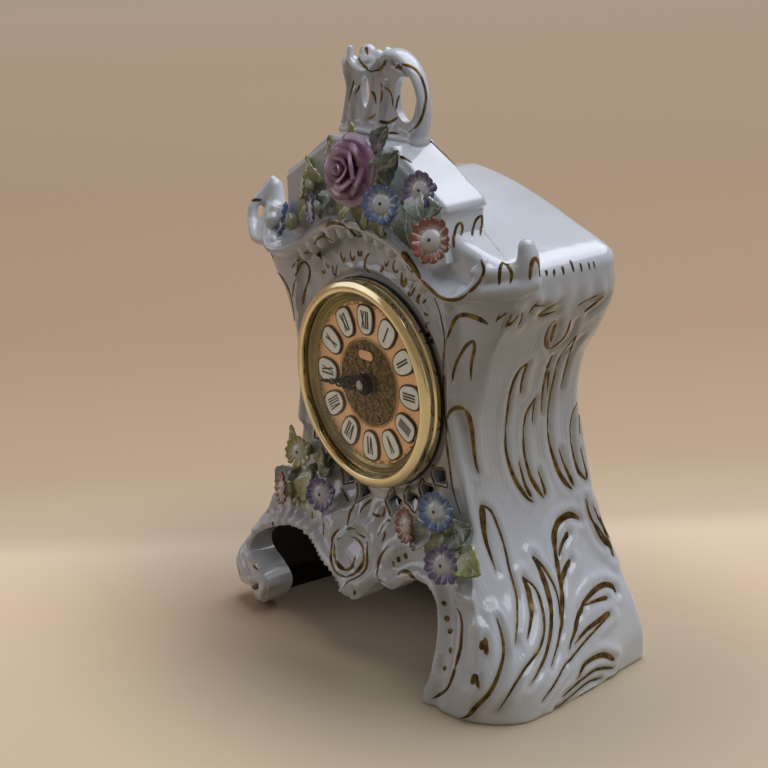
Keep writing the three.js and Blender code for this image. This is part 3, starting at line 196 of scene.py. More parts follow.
def gold_lustre(name):
    """Liquid gold brushed on and fired: thin, so brown shows through in streaks along the stroke."""
    material, tree, shader, place = new_material(name)
    streak = add_node(tree, "ShaderNodeTexNoise", {"Vector": place, "Scale": pattern_scale(3.85),
                                                   "Detail": 4.0})
    tone = set_ramp(add_node(tree, "ShaderNodeValToRGB", {"Fac": streak.outputs["Fac"]}),
                    [(0.3, "#2e2414"), (0.52, "#5c4a28"), (0.78, "#94763f")])
    rough = add_node(tree, "ShaderNodeMapRange", {"Value": streak.outputs["Fac"], "To Min": 0.46,
                                                  "To Max": 0.28})
    bump = add_node(tree, "ShaderNodeBump", {"Height": streak.outputs["Fac"], "Strength": 0.3,
                                             "Distance": 0.1 * MM})
    fill(tree, shader, {"Base Color": tone, "Normal": bump.outputs["Normal"],
                        "Roughness": rough.outputs["Result"], "Metallic": 0.85})
    return material


def polished_metal(name, dark, light, smooth, dull):
    """Plated or polished metal: mirror-like, with wipe marks that widen its highlights here and there."""
    material, tree, shader, place = new_material(name)
    cloud = add_node(tree, "ShaderNodeTexNoise", {"Vector": place, "Scale": pattern_scale(16.7),
                                                  "Detail": 5.0})
    tone = set_ramp(add_node(tree, "ShaderNodeValToRGB", {"Fac": cloud.outputs["Fac"]}),
                    [(0.3, dark), (0.7, light)])
    rough = add_node(tree, "ShaderNodeMapRange", {"Value": cloud.outputs["Fac"], "From Min": 0.3,
                                                  "From Max": 0.7, "To Min": smooth, "To Max": dull})
    # the polishing grain, drawn half a millimetre wide, because its true width doesn't show
    grain = add_node(tree, "ShaderNodeTexNoise", {"Vector": place, "Scale": pattern_scale(0.5),
                                                  "Detail": 2.0})
    bump = add_node(tree, "ShaderNodeBump", {"Height": grain.outputs["Fac"], "Strength": 0.08,
                                             "Distance": 0.1 * MM})
    fill(tree, shader, {"Base Color": tone, "Normal": bump.outputs["Normal"],
                        "Roughness": rough.outputs["Result"], "Metallic": 1.0})
    return material


def moulded_plastic(name, dark, light, rough):
    """Injection-moulded plastic, print or enamel: a fine grain and a slightly uneven tone."""
    material, tree, shader, place = new_material(name)
    cloud = add_node(tree, "ShaderNodeTexNoise", {"Vector": place, "Scale": pattern_scale(11.1),
                                                  "Detail": 3.0})
    tone = set_ramp(add_node(tree, "ShaderNodeValToRGB", {"Fac": cloud.outputs["Fac"]}),
                    [(0.3, dark), (0.7, light)])
    # spark-eroded grain, drawn coarser than the true 0.1 mm, which doesn't show
    grain = add_node(tree, "ShaderNodeTexVoronoi", {"Vector": place, "Scale": pattern_scale(0.6)})
    bump = add_node(tree, "ShaderNodeBump", {"Height": grain.outputs["Distance"], "Strength": 0.25,
                                             "Distance": 0.1 * MM})
    fill(tree, shader, {"Base Color": tone, "Normal": bump.outputs["Normal"], "Roughness": rough, "IOR": 1.5})
    return material


def petal_glaze(name, pale, full, deep):
    """Coloured glaze brushed on a modelled petal: pale at its root, full at its tip, dark where it pools."""
    material, tree, shader, place = new_material(name)
    reach = add_node(tree, "ShaderNodeAttribute", attribute_name="reach").outputs["Fac"]
    stroke = add_node(tree, "ShaderNodeTexNoise", {"Vector": place, "Scale": pattern_scale(2.38),
                                                   "Detail": 3.0})
    shift = add_node(tree, "ShaderNodeMath", {0: stroke.outputs["Fac"], 1: 0.5, 2: -0.25},
                     operation="MULTIPLY_ADD")
    mixed = add_node(tree, "ShaderNodeMath", {0: reach, 1: shift.outputs[0]}, operation="ADD")
    tone = set_ramp(add_node(tree, "ShaderNodeValToRGB", {"Fac": mixed.outputs[0]}),
                    [(0.0, pale), (0.38, pale), (0.66, full), (0.98, deep)])
    bump = add_node(tree, "ShaderNodeBump", {"Height": stroke.outputs["Fac"], "Strength": 0.3,
                                             "Distance": 0.2 * MM})
    fill(tree, shader, {"Base Color": tone, "Normal": bump.outputs["Normal"], "Roughness": 0.14, "IOR": 1.52,
                        "Coat Weight": 0.5})
    return material


def crystal_glass(name):
    """Clear mineral glass, a little grey: it lets the dial through and mirrors little of a dim room."""
    material, tree, shader, place = new_material(name)
    smear = add_node(tree, "ShaderNodeTexNoise", {"Vector": place, "Scale": pattern_scale(16.7),
                                                  "Detail": 3.0})
    rough = add_node(tree, "ShaderNodeMapRange", {"Value": smear.outputs["Fac"], "From Min": 0.5,
                                                  "From Max": 0.8, "To Min": 0.0, "To Max": 0.05})
    fill(tree, shader, {"Base Color": colour("#fcfdfc"), "Roughness": rough.outputs["Result"], "IOR": 1.15,
                        "Transmission Weight": 1.0, "Specular IOR Level": 0.25})
    # shadow rays pass straight through, so that the dial is lit
    path = add_node(tree, "ShaderNodeLightPath")
    clear = add_node(tree, "ShaderNodeBsdfTransparent", {"Color": colour("#f9faf9")})
    mixed = add_node(tree, "ShaderNodeMixShader", {"Fac": path.outputs["Is Shadow Ray"],
                                                   1: shader.outputs["BSDF"], 2: clear.outputs["BSDF"]})
    output = next(n for n in tree.nodes if n.type == "OUTPUT_MATERIAL")
    fill(tree, output, {"Surface": mixed.outputs[0]})
    return material


def engraved_metal(name, ground_tone, middle, high, cell_mm):
    """Stamped and darkened brass: pale on its high lines, brown where the lacquer fills the ground."""
    material, tree, shader, place = new_material(name)
    cells = add_node(tree, "ShaderNodeTexVoronoi", {"Vector": place, "Scale": pattern_scale(cell_mm)},
                     feature="SMOOTH_F1")
    worm = add_node(tree, "ShaderNodeTexNoise", {"Vector": place, "Scale": 0.6 * pattern_scale(cell_mm),
                                                 "Detail": 3.0, "Distortion": 2.5})
    ground = add_node(tree, "ShaderNodeMath", {0: cells.outputs["Distance"], 1: worm.outputs["Fac"]},
                      operation="MULTIPLY")
    tone = set_ramp(add_node(tree, "ShaderNodeValToRGB", {"Fac": ground.outputs[0]}),
                    [(0.08, ground_tone), (0.24, middle), (0.42, high)])
    bump = add_node(tree, "ShaderNodeBump", {"Height": ground.outputs[0], "Strength": 0.7,
                                             "Distance": 0.3 * MM})
    fill(tree, shader, {"Base Color": tone, "Normal": bump.outputs["Normal"], "Roughness": 0.34,
                        "Metallic": 0.9})
    return material


porcelain = glazed_porcelain("slip_cast_porcelain_glazed", "#dfe4ec", "#a9a79c", ribs=True)
luted_porcelain = glazed_porcelain("hand_luted_porcelain_glazed", "#e2e6ee", "#b0afa6")
gold = gold_lustre("brushed_gold_lustre_fired")
glazes = {
    "blue": petal_glaze("blue_petal_glaze_brushed", "#e2e6ea", "#6f8fc4", "#3f5f9c"),
    "violet": petal_glaze("violet_petal_glaze_brushed", "#e0dee6", "#8577ad", "#4c4379"),
    "rust": petal_glaze("rust_petal_glaze_brushed", "#ded9d4", "#a8604c", "#6e3222"),
    "yellow": petal_glaze("yellow_petal_glaze_brushed", "#e8e8de", "#cfc888", "#9a9450"),
    "rose": petal_glaze("rose_petal_glaze_brushed", "#cdabc4", "#95607f", "#5a2f4b"),
}
leaf_glazes = {
    "dark": petal_glaze("dark_leaf_glaze_brushed", "#b9c4bd", "#5d7262", "#33453a"),
    "mid": petal_glaze("olive_leaf_glaze_brushed", "#c9cbaa", "#8b9468", "#59633c"),
    "pale": petal_glaze("grey_leaf_glaze_brushed", "#d6dcd8", "#8fa396", "#50645a"),
    "lime": petal_glaze("lime_leaf_glaze_brushed", "#dcdfb8", "#b4bb7c", "#828a4a"),
}
flower_eye = moulded_plastic("dark_slip_dot_fired", "#2c2416", "#4a3d20", 0.3)
brass = polished_metal("lacquered_brass_polished", "#cdbd95", "#e2d6b0", 0.07, 0.15)
dark_brass = polished_metal("shaded_brass_polished", "#5c5138", "#827650", 0.10, 0.2)
gilt = polished_metal("stamped_gilt_brass", "#b99a63", "#d9bd88", 0.2, 0.32)
dark_gilt = polished_metal("browned_gilt_pressed", "#3a2e1c", "#5a482c", 0.35, 0.5)
copper_gilt = polished_metal("rose_gilt_satin", "#c79f7c", "#dbb694", 0.3, 0.42)
engraved_brass = engraved_metal("engraved_brass_browned", "#3a2f1c", "#665433", "#94804f", 0.9)
enamel = moulded_plastic("white_enamel_fired", "#d6d6d2", "#e6e5e0", 0.22)
ink_black = moulded_plastic("black_ink_printed", "#14110e", "#221d17", 0.4)
hand_steel = polished_metal("black_lacquered_steel", "#090807", "#13110f", 0.3, 0.42)
spring = polished_metal("cold_rolled_steel_bright", "#8d9195", "#b6b9bc", 0.25, 0.4)
glass = crystal_glass("mineral_glass_clear")
rubber = moulded_plastic("black_rubber_moulded", "#141414", "#232323", 0.6)
black_plastic = moulded_plastic("black_abs_moulded", "#17181a", "#242528", 0.45)
white_plastic = moulded_plastic("white_acetal_moulded", "#d2d0c8", "#e2e0d8", 0.4)
jacket = moulded_plastic("battery_jacket_printed_film", "#3c4650", "#56616c", 0.35)
board = moulded_plastic("green_board_solder_masked", "#1d5a38", "#2d7a4c", 0.35)

# Profiles of the case, the same as in the part's source
WALL = 5.5
FRONT_Y = -30.0
TOE_Y = -56.0
BACK_Y = 40.0
HEEL_Y = 56.0
ROOF_TOP_Z = 231.0
EAVE_Z = 203.0
EAVE_HALF = 94.0
WAIST_HALF = 65.0
FOOT_HALF = 108.0
HEEL_HALF = 95.0
DIAL_Z = 137.0
BACK_CORNER = 7.0
EAVE_ROUND = 4.5  # radius of the glazed edge between the walls and the roof
SKIN_INSET = 0.6  # the plain walls lie this far inside the solid's, which leaves room for their relief
ROOF_INSET = 0.4
ROOF_WALL = WALL + 0.6
MIDDLE_Y = 5.0  # depth at which the roof's rows close


def profile(pairs):
    """A smooth function through [place, value] pairs, flat outside them, with no overshoot."""
    place, value = np.array(pairs, float).T
    slope = np.diff(value) / np.diff(place)
    tangent = np.zeros(len(place))
    tangent[0], tangent[-1] = slope[0], slope[-1]
    for i in range(1, len(place) - 1):
        before, after = slope[i - 1], slope[i]
        tangent[i] = 0.0 if before * after <= 0 else 2 * before * after / (before + after)

    def at(where):
        w = np.clip(np.asarray(where, float), place[0], place[-1])
        i = np.clip(np.searchsorted(place, w, side="right") - 1, 0, len(place) - 2)
        width = place[i + 1] - place[i]
        t = (w - place[i]) / width
        s = 1 - t
        return ((1 + 2 * t) * s * s * value[i] + t * t * (3 - 2 * t) * value[i + 1]
                + width * t * s * (s * tangent[i] - t * tangent[i + 1]))

    return at


front_edge = profile([[0, 73], [22, 82], [42, 84], [60, 77], [80, 67.5], [100, 60], [125, 55], [165, 53],
                      [185, 56], [EAVE_Z, 60]])
UPPER_SIDE = [[40, 95], [56, 83], [76, 72], [100, 66], [124, WAIST_HALF], [150, WAIST_HALF + 7], [165, 78],
              [180, EAVE_HALF - 6.5], [192, EAVE_HALF - 1.5], [EAVE_Z, EAVE_HALF]]
UPPER_FRONT = [[30, TOE_Y + 6], [45, TOE_Y + 11], [60, FRONT_Y - 9.5], [73, FRONT_Y - 4], [82, FRONT_Y],
               [EAVE_Z, FRONT_Y]]
side_front = {
    1: profile([[0, FOOT_HALF], [12, FOOT_HALF + 0.5], [26, FOOT_HALF - 5]] + UPPER_SIDE),
    -1: profile([[0, FOOT_HALF - 8], [8, FOOT_HALF - 2], [18, FOOT_HALF], [26, FOOT_HALF - 4]] + UPPER_SIDE),
}
front_plane = {
    1: profile([[0, TOE_Y], [14, TOE_Y + 1]] + UPPER_FRONT),
    -1: profile([[0, TOE_Y + 12], [8, TOE_Y + 7.5], [18, TOE_Y + 5.5]] + UPPER_FRONT),
}
side_back = profile([
    [0, HEEL_HALF], [12, HEEL_HALF + 1], [26, HEEL_HALF - 2], [40, 86], [56, 78], [76, 71], [100, 67.5],
    [124, WAIST_HALF + 2], [150, 73], [165, 83], [180, EAVE_HALF - 3], [192, EAVE_HALF - 0.5],
    [EAVE_Z, EAVE_HALF]])
back_plane = profile([[0, HEEL_Y], [36, HEEL_Y - 3], [71, HEEL_Y - 7], [90, BACK_Y + 7], [105, BACK_Y + 5],
                      [130, BACK_Y + 1], [150, BACK_Y]])
UPPER_CORNER = [[80, 15], [130, 10], [165, 8], [180, 6.5], [EAVE_Z, 10]]
corner_depth = {1: profile([[0, 27], [40, 21]] + UPPER_CORNER),
                -1: profile([[0, 13], [18, 8], [42, 15]] + UPPER_CORNER)}
roof_line = profile([[0, ROOF_TOP_Z], [18, ROOF_TOP_Z - 2.6], [44, 221.5], [68, 213], [86, EAVE_Z + 3.5],
                     [EAVE_HALF, EAVE_Z]])


# Painted strokes. Each is (width at its start, width at its end, points), in mm.
# On the sides the points are (depth y, height z), and the left side mirrors the right.
SIDE_STROKES = [
    (3.4, 0.8, [(-23, 91), (-24, 83), (-25, 76), (-25, 69), (-25, 63)]),
    (1.2, 1.0, [(-23, 91), (-19, 88), (-17, 81), (-16, 71), (-18, 61), (-20, 51), (-25, 44), (-32, 35)]),
    (1.0, 2.2, [(-35, 46), (-36, 40), (-38, 33), (-43, 25), (-48, 18), (-53, 9), (-54, 1)]),
    (2.2, 2.0, [(-44, 40), (-45, 37), (-46, 33)]),
    (2.0, 1.6, [(-51, 25), (-52, 22), (-52, 19)]),
    (3.0, 1.0, [(-12, 57), (-13, 50), (-16, 43), (-24, 35)]),
    (1.4, 1.0, [(-12, 57), (-8, 51), (-9, 44), (-13, 36), (-20, 30), (-33, 24), (-42, 16), (-46, 8)]),
    (2.8, 1.0, [(-2, 63), (-1, 54), (-3, 44), (-9, 35), (-17, 27), (-25, 21), (-32, 18)]),
    (1.4, 1.0, [(-2, 63), (2, 56), (3, 46), (-1, 37)]),
    (3.2, 1.2, [(32, 71), (27, 74), (19, 73), (14, 68), (11, 60), (8, 50), (4, 42), (-3, 33), (-10, 26),
                (-16, 21)]),
    (3.0, 0.8, [(23, 67), (16, 63), (13, 59)]),
    (3.0, 1.0, [(19, 56), (13, 53), (7, 47), (1, 39)]),
    (2.6, 1.6, [(40, 36), (40, 38), (35, 41), (26, 41), (19, 39), (13, 36), (4, 29), (-2, 24)]),
    (2.0, 1.0, [(33, 36), (25, 37), (17, 37)]),
    (2.8, 1.0, [(31, 30), (20, 29), (12, 28), (2, 25)]),
    (1.2, 0.8, [(31, 29), (17, 26), (3, 22), (-8, 18), (-18, 12), (-25, 8)]),
    (2.8, 1.2, [(28, 9), (20, 14), (12, 15), (5, 14), (0, 10)]),
    (1.6, 0.9, [(27, 5), (14, 9), (2, 8), (-11, 5)]),
    (1.4, 0.8, [(18, 3), (8, 5), (-4, 3), (-16, 1)]),
    (1.0, 1.6, [(38, 77), (39, 69), (43, 62), (47, 50)]),
    (0.8, 2.2, [(45, 69), (46, 59), (47, 50)]),
]
EDGE_STROKE_COUNT = 6  # how many of WALL_STROKES lie beside the right front edge; the left has none of these
# Strokes on the right wall, as points of the photograph; the left wall carries their mirror image.
WALL_STROKES = [
    (0.8, 1.2, [(434, 297), (438, 307), (441.5, 320), (443.7, 332), (444.5, 346), (443.5, 361), (443.7, 377),
                (443.7, 400), (444.5, 411), (446, 424), (446.5, 440), (448, 455), (450, 469), (452.5, 487),
                (456, 501), (461, 515)]),
    (0.7, 2.6, [(445.7, 343), (448.7, 334), (452.5, 325), (455.6, 318), (460, 315), (466, 314.5), (474, 317),
                (481.5, 320), (488, 324)]),
    (0.9, 1.6, [(452.5, 381), (453, 375), (455.6, 365), (460, 355.5), (466, 346), (473, 340)]),
    (1.8, 0.9, [(473, 340), (475, 345), (474, 351), (472.5, 358), (471, 368), (471, 381)]),
    (1.0, 2.0, [(447, 426), (448, 415), (452.5, 409), (458.5, 407), (465, 409.5)]),
    (2.0, 0.9, [(465, 409.5), (468.5, 415), (471, 424), (473, 438), (474, 450), (476, 464), (479, 473)]),
    (1.2, 0.8, [(527, 364), (521, 368), (514.5, 379), (510, 393), (507.5, 410), (505.5, 429)]),
    (0.8, 2.2, [(505.5, 429), (505.7, 449), (509, 464), (514.5, 479), (522, 491), (528, 499), (533, 502)]),
    (1.8, 0.7, [(527, 364), (526, 368), (522, 379), (520.5, 393)]),
    (0.6, 1.8, [(519, 462), (522, 474.5), (526, 487), (531.5, 497)]),
    (1.6, 0.8, [(535.5, 398), (530, 406), (525.5, 415.5), (523.3, 429)]),
    (0.8, 2.2, [(523.3, 429), (523.7, 449), (526, 462), (530.6, 478), (536.7, 488), (543.5, 497.5)]),
    (0.9, 0.6, [(535, 400), (533, 410), (532, 423)]),
    (0.6, 1.6, [(538, 471), (541.3, 480), (544.4, 489), (545, 495)]),
    (1.0, 1.8, [(552.4, 355), (549.5, 362), (547, 369)]),
    (1.8, 0.8, [(547, 369), (543.6, 385), (541.7, 399), (541.3, 412)]),
    (1.2, 0.6, [(549, 371), (548, 381), (547.3, 392)]),
    (0.8, 1.6, [(576.5, 335.5), (569, 344.5), (561, 354.5), (556, 367)]),
    (1.6, 0.8, [(556, 367), (553, 382), (549.7, 397), (547.8, 413), (547.4, 429)]),
    (0.8, 2.4, [(547.4, 429), (549, 442), (553.4, 458), (559, 473), (566, 483.5), (572, 489)]),
    (1.2, 0.7, [(576.5, 335.5), (571, 349), (566.6, 364), (560.5, 388)]),
    (0.6, 2.0, [(559, 449), (563, 462), (568.6, 474.5), (573.5, 485)]),
    (1.2, 0.8, [(578, 400.5), (572.7, 413), (570, 426), (570.5, 441)]),
    (0.8, 1.8, [(570.5, 441), (574.4, 460), (578.4, 472), (586, 479.5)]),
    (0.9, 0.6, [(578, 400.5), (579, 412), (579.2, 425), (579.7, 434)]),
    (0.6, 1.6, [(580.4, 448), (583.3, 460), (586.4, 472), (587, 479)]),
    (0.7, 2.0, [(586, 499), (590, 514.5), (596, 528), (602.5, 539.5), (611, 548.5)]),
    (0.6, 1.8, [(593.5, 506), (599, 519), (607, 533), (614, 545)]),
    (0.8, 0.6, [(496, 322), (499.6, 314)]),
    (0.8, 0.6, [(497, 320), (507, 312.5)]),
    (1.6, 0.7, [(506, 327), (508.7, 321), (512, 314.4)]),
    (1.6, 0.7, [(507.5, 326), (515.4, 320), (518.3, 314.4)]),
    (0.7, 0.6, [(522, 312.5), (521.6, 319), (518.3, 325)]),
    (0.8, 0.8, [(529.3, 313), (533.6, 306), (545, 305.8)]),
    (0.6, 0.6, [(532, 309), (536.4, 303.4)]),
    (1.8, 0.8, [(537.4, 316), (545, 310.6), (556.5, 303)]),
    (1.4, 0.8, [(539.3, 316.3), (547, 314), (555.6, 311)]),
    (1.2, 2.6, [(555.6, 320), (549, 327), (545.5, 340), (548.4, 349)]),
    (0.8, 1.8, [(571, 320), (566, 335), (556.5, 345), (549.5, 349)]),
    (1.6, 1.6, [(556, 323), (553, 333), (551, 342)]),
    (0.8, 0.7, [(578, 306), (585, 301), (597.7, 295.3)]),
    (2.2, 1.0, [(584.3, 312), (591, 307), (603.4, 296.2)]),
]
# Strokes on the right foot, as points of the photograph
FOOT_STROKES = [
    (0.9, 1.8, [(457, 608), (459.7, 613), (462, 623), (461.7, 633), (460.7, 646.5), (458, 657), (455, 668)]),
    (1.8, 1.2, [(455, 668), (452, 678), (448, 687.5), (443, 692.5), (438, 695.5), (432.7, 698.5)]),
    (1.2, 1.2, [(409, 575), (415.3, 579), (421.4, 585.5), (426.5, 593.5), (430.6, 603), (433.7, 613),
                (435.7, 623), (435.7, 633), (434.2, 643.5), (433.4, 650)]),
    (2.4, 2.0, [(442.5, 605), (445.5, 601.5)]),
    (2.6, 2.4, [(444.5, 620), (449.5, 617)]),
    (2.4, 2.0, [(448, 632.5), (452.8, 629.5)]),
    (2.6, 2.4, [(449, 650), (452, 650.5)]),
    (2.0, 1.8, [(446, 670), (443.6, 666.5)]),
    (2.2, 2.4, [(483, 640), (481.4, 650)]),
    (2.2, 2.6, [(474.5, 673.5), (471.8, 684.5)]),
]


def on_wall(px, py):
    """Depth y and height z at which the photograph's point lies on the right wall."""
    ray, start = photo_ray(px, py), CAMERA_AT / MM
    height = 130.0
    for _ in range(8):
        place = start + ray * ((float(side_front[1](height)) - start.x) / ray.x)
        height = place.z
    return place.y, place.z


# The arch between the feet, as (x, z) points from left to right
ARCH = [
    (-90, -5), (-89, 1), (-82, 3), (-76, 7), (-71, 13), (-70, 19), (-76, 25), (-85, 31), (-86, 37), (-80, 43),
    (-70, 48), (-60, 51), (-50, 51.5), (-40, 49), (-30, 43), (-19, 39), (-8, 34), (0, 31.5), (7, 36),
    (15, 44), (21, 45), (27, 44), (33, 49), (41, 52), (50, 51), (57, 46), (61, 38), (63, 27), (63, 15),
    (59, 7), (57, -5),
]
ARCH_DEPTH = 21.0
ARCH_RIM = 4.5
LATTICE_R = 58.0
LATTICE_ANGLES = (-52, -38.5, -25, -11.5, 11.5, 25, 38.5, 52)
DIAMOND_HALF = (4.8, 5.4)
DIAMOND_RIM_HALF = (6.2, 6.8)  # the gilt line round each
PORT_R = 42.0
HOLE_R = 43.5


def smooth_line(points, step):
    """A Catmull-Rom curve through points, sampled about every step."""
    p = np.array(points, float)
    if len(p) == 2:
        count = max(2, int(np.linalg.norm(p[1] - p[0]) / step) + 1)
        return p[0] + np.linspace(0, 1, count)[:, None] * (p[1] - p[0])
    p = np.vstack([2 * p[0] - p[1], p, 2 * p[-1] - p[-2]])
    out = []
    for a, b, c, d in zip(p[:-3], p[1:-2], p[2:-1], p[3:]):
        count = max(1, int(np.linalg.norm(c - b) / step))
        t = (np.arange(count) / count)[:, None]
        out.append(0.5 * (2 * b + (c - a) * t + (2 * a - 5 * b + 4 * c - d) * t ** 2
                          + (3 * b - a - 3 * c + d) * t ** 3))
    out.append(p[-2][None])
    return np.vstack(out)


def distance_to(line, a, b):
    """Least distance from points (a, b) to a line of 2-D points."""
    best = np.full(a.shape, 1e9)
    for (a0, b0), (a1, b1) in zip(line[:-1], line[1:]):
        da, db = a1 - a0, b1 - b0
        t = np.clip(((a - a0) * da + (b - b0) * db) / max(da * da + db * db, 1e-9), 0, 1)
        best = np.minimum(best, (a - a0 - t * da) ** 2 + (b - b0 - t * db) ** 2)
    return np.sqrt(best)


def bell(distance, width):
    """A smooth bump: 1 at no distance, and nearly nothing from twice the width on."""
    return np.exp(-(distance / width) ** 2)


# Rolls of porcelain on the front: (height, half width, points (x, z))
FRONT_ROLLS = [
    (3.0, 2.2, [(53, 196), (56.5, 180), (56.5, 164), (56.5, 134), (58, 117), (61, 105), (65, 94), (70, 84),
                (78, 74)]),
    (3.0, 2.2, [(-53, 196), (-56.5, 180), (-56.5, 164), (-56.5, 134), (-58, 117), (-62, 104)]),
    (2.2, 3.2, [(-44, 194), (-36, 203), (-25, 209), (-12, 213), (0, 214), (12, 213), (25, 209), (36, 203),
                (44, 194)]),
    (3.2, 2.6, [(-14, 59), (-17, 53), (-16, 46), (-10, 41), (-2, 40), (6, 42), (11, 48), (12, 55), (8, 61),
                (1, 65), (-6, 65), (-12, 62)]),
    (2.4, 2.4, [(-8, 33), (-2, 38), (6, 39)]),
    (2.6, 4.0, [(-24, 56), (-22, 64), (-16, 70)]),
    (2.6, 4.0, [(-30, 62), (-24, 68)]),
    (2.6, 4.2, [(-8, 72), (-7, 66)]),
    (2.6, 4.2, [(4, 73), (3, 68)]),
    (2.4, 3.6, [(13, 68), (10, 64)]),
    (2.8, 4.4, [(23, 60), (17, 55), (18, 48), (24, 48)]),
    (2.6, 3.4, [(72, 54), (78, 53.5), (85, 55), (92, 58)]),
    (2.4, 5.0, [(88, 44), (92, 32), (93, 20), (88, 8)]),
    (2.0, 3.0, [(-76, 14), (-80, 19), (-84, 17)]),
]

arch_line = smooth_line(ARCH, 2.0)


def diamond(cx, cz, turn, half_w, half_h):
    """Corners of one of the lattice's diamonds."""
    c, s = math.cos(turn), math.sin(turn)
    corners = [(-half_w, 0), (0, -half_h), (half_w, 0), (0, half_h)]
    return [(cx + u * c - v * s, cz + u * s + v * c) for u, v in corners]


def lattice_places():
    """Middle and turn of each diamond that pierces the front below the dial."""
    for degrees in LATTICE_ANGLES:
        turn = math.radians(degrees)
        yield LATTICE_R * math.sin(turn), DIAL_Z - LATTICE_R * math.cos(turn), turn


def front_relief(x, z):
    """How far the front stands proud of its plain panel."""
    arch = distance_to(arch_line, x, z)
    out = 1.7 * bell(arch - 2.6, 2.4) - 1.2 * bell(arch - 8.5, 3.5) + 1.3 * bell(arch - 15.5, 3.2)
    out = np.where(z > 66, 0, out)
    # flutes of the frill over the left of the arch
    frill = bell(arch - 6, 4.5) * np.clip((30 + x) / -12, 0, 1) * np.clip((z - 22) / 6, 0, 1)
    out += 0.9 * frill * np.sin(np.arctan2(z - 30, x + 58) * 26)
    fillet = np.clip(1 - arch / 1.6, 0, 1)
    out -= 1.6 * (1 - np.sqrt(1 - fillet ** 2))
    for height, width, points in FRONT_ROLLS:
        out += height * bell(distance_to(smooth_line(points, 3.0), x, z), width)
    radius = np.hypot(x, z - DIAL_Z)
    angle = np.arctan2(x, z - DIAL_Z)
    out += 1.4 * bell(radius - 54.5, 2.2) - 0.6 * bell(radius - 52, 1.4)
    # leaf tips that ring the upper half of the dial
    ring = bell(radius - 62, 4.5) * (np.abs(angle) < 1.75)
    out += ring * (0.5 + 0.4 * np.cos(angle * 34))
    for cx, cz, turn in lattice_places():
        u = (x - cx) * math.cos(turn) + (z - cz) * math.sin(turn)
        v = -(x - cx) * math.sin(turn) + (z - cz) * math.cos(turn)
        edge = (np.abs(u) / DIAMOND_HALF[0] + np.abs(v) / DIAMOND_HALF[1] - 1) * 3.5
        out += 0.9 * bell(edge - 1.2, 1.0)
    return out


WALL_LINES = [(start, end, [on_wall(*point) for point in points]) for start, end, points in WALL_STROKES]


def side_relief(y, z):
    """Grooves under the painted strokes of the side walls, and the soft lobes between them."""
    ridge = np.zeros(y.shape)
    groove = np.zeros(y.shape)
    for start, end, points in SIDE_STROKES + WALL_LINES:
        line = smooth_line(points, 4.0)
        near = distance_to(line, y, z)
        half = max(start, end) / 2
        lift, depth = (1.3, 0.6) if points[0][1] < 80 else (0.5, 0.5)
        ridge = np.maximum(ridge, lift * bell(near - half - 2.4, 2.4))
        groove = np.maximum(groove, depth * bell(near, half + 0.8))
    cove = 0.8 * bell(z - 188, 7.0) * np.cos(y * 0.33) ** 2
    # the hollow between the front edge and the curl under the eave
    hollow = 1.8 * bell(np.hypot((y + 34) / 6, (z - 172) / 12), 0.8)
    return ridge - groove + cove - hollow


def spread_columns(counts):
    """For columns of points round half the case, the region that each is in and its share of the way across.

    The regions are the front, the front corner, the side, the back corner and the back.
    """
    region = np.concatenate([np.full(n, number) for number, n in enumerate(counts)])
    return region, np.concatenate([np.arange(n) / n for n in counts])


COLUMN_REGION, COLUMN_SHARE = spread_columns([96, 24, 56, 6, 16])
ROWS = 150


def half_section(z, side, inset=0.0, region=COLUMN_REGION, share=COLUMN_SHARE):
    """Outside of half the case at rows of heights: x outward from the middle, and y."""
    edge = front_edge(z) - inset * 0.6
    front, back = side_front[side](z) - inset, side_back(z) - inset
    y_front, y_back = front_plane[side](z) + inset, back_plane(z) - inset
    depth = corner_depth[side](z) - inset * 0.4
    turn = share * math.pi / 2
    start, end = y_front + depth, y_back - BACK_CORNER
    regions = [region == i for i in range(4)]
    x = np.select(regions, [edge * share, edge + (front - edge) * np.sin(turn),
                            front + (back - front) * share, back - BACK_CORNER * (1 - np.cos(turn))],
                  (back - BACK_CORNER) * (1 - share))
    y = np.select(regions, [y_front + 0 * share, y_front + depth * (1 - np.cos(turn)),
                            start + (end - start) * share, end + BACK_CORNER * np.sin(turn)],
                  y_back + 0 * share)
    return x, y


def grid_faces(rows, count, first=0, capped=False):
    """Quads between rows of equal length that close round, with a face over each end if capped."""
    i = np.arange(count)
    faces = []
    for r in range(rows - 1):
        a = first + r * count + i
        b = first + r * count + (i + 1) % count
        faces += np.stack([a, b, b + count, a + count], 1).tolist()
    if capped:
        faces.append([first + i for i in range(count)][::-1])
        faces.append([first + (rows - 1) * count + i for i in range(count)])
    return faces


def drawn_to_tips(skin, top, bottom):
    """Points and faces of rows that close round, with the last drawn to top and the first to bottom."""
    rows, count = skin.shape[:2]
    verts = skin.reshape(-1, 3).tolist() + [top, bottom]
    last = (rows - 1) * count
    faces = grid_faces(rows, count)
    faces += [[last + i, last + (i + 1) % count, len(verts) - 2] for i in range(count)]
    faces += [[(i + 1) % count, i, len(verts) - 1] for i in range(count)]
    return verts, faces


def sheet_faces(rows, count):
    """Faces of a closed sheet: a grid of points, then the same grid under it, and the edge between them."""
    half = rows * count
    faces = []
    for r in range(rows - 1):
        for c in range(count - 1):
            a = r * count + c
            faces.append([a, a + 1, a + count + 1, a + count])
            faces.append([half + a, half + a + count, half + a + count + 1, half + a + 1])
    edge = list(range(count)) + [r * count + count - 1 for r in range(1, rows)]
    edge += [(rows - 1) * count + c for c in range(count - 2, -1, -1)]
    edge += [r * count for r in range(rows - 2, 0, -1)]
    for a, b in zip(edge, edge[1:] + edge[:1]):
        faces.append([a, a + half, b + half, b])
    return faces


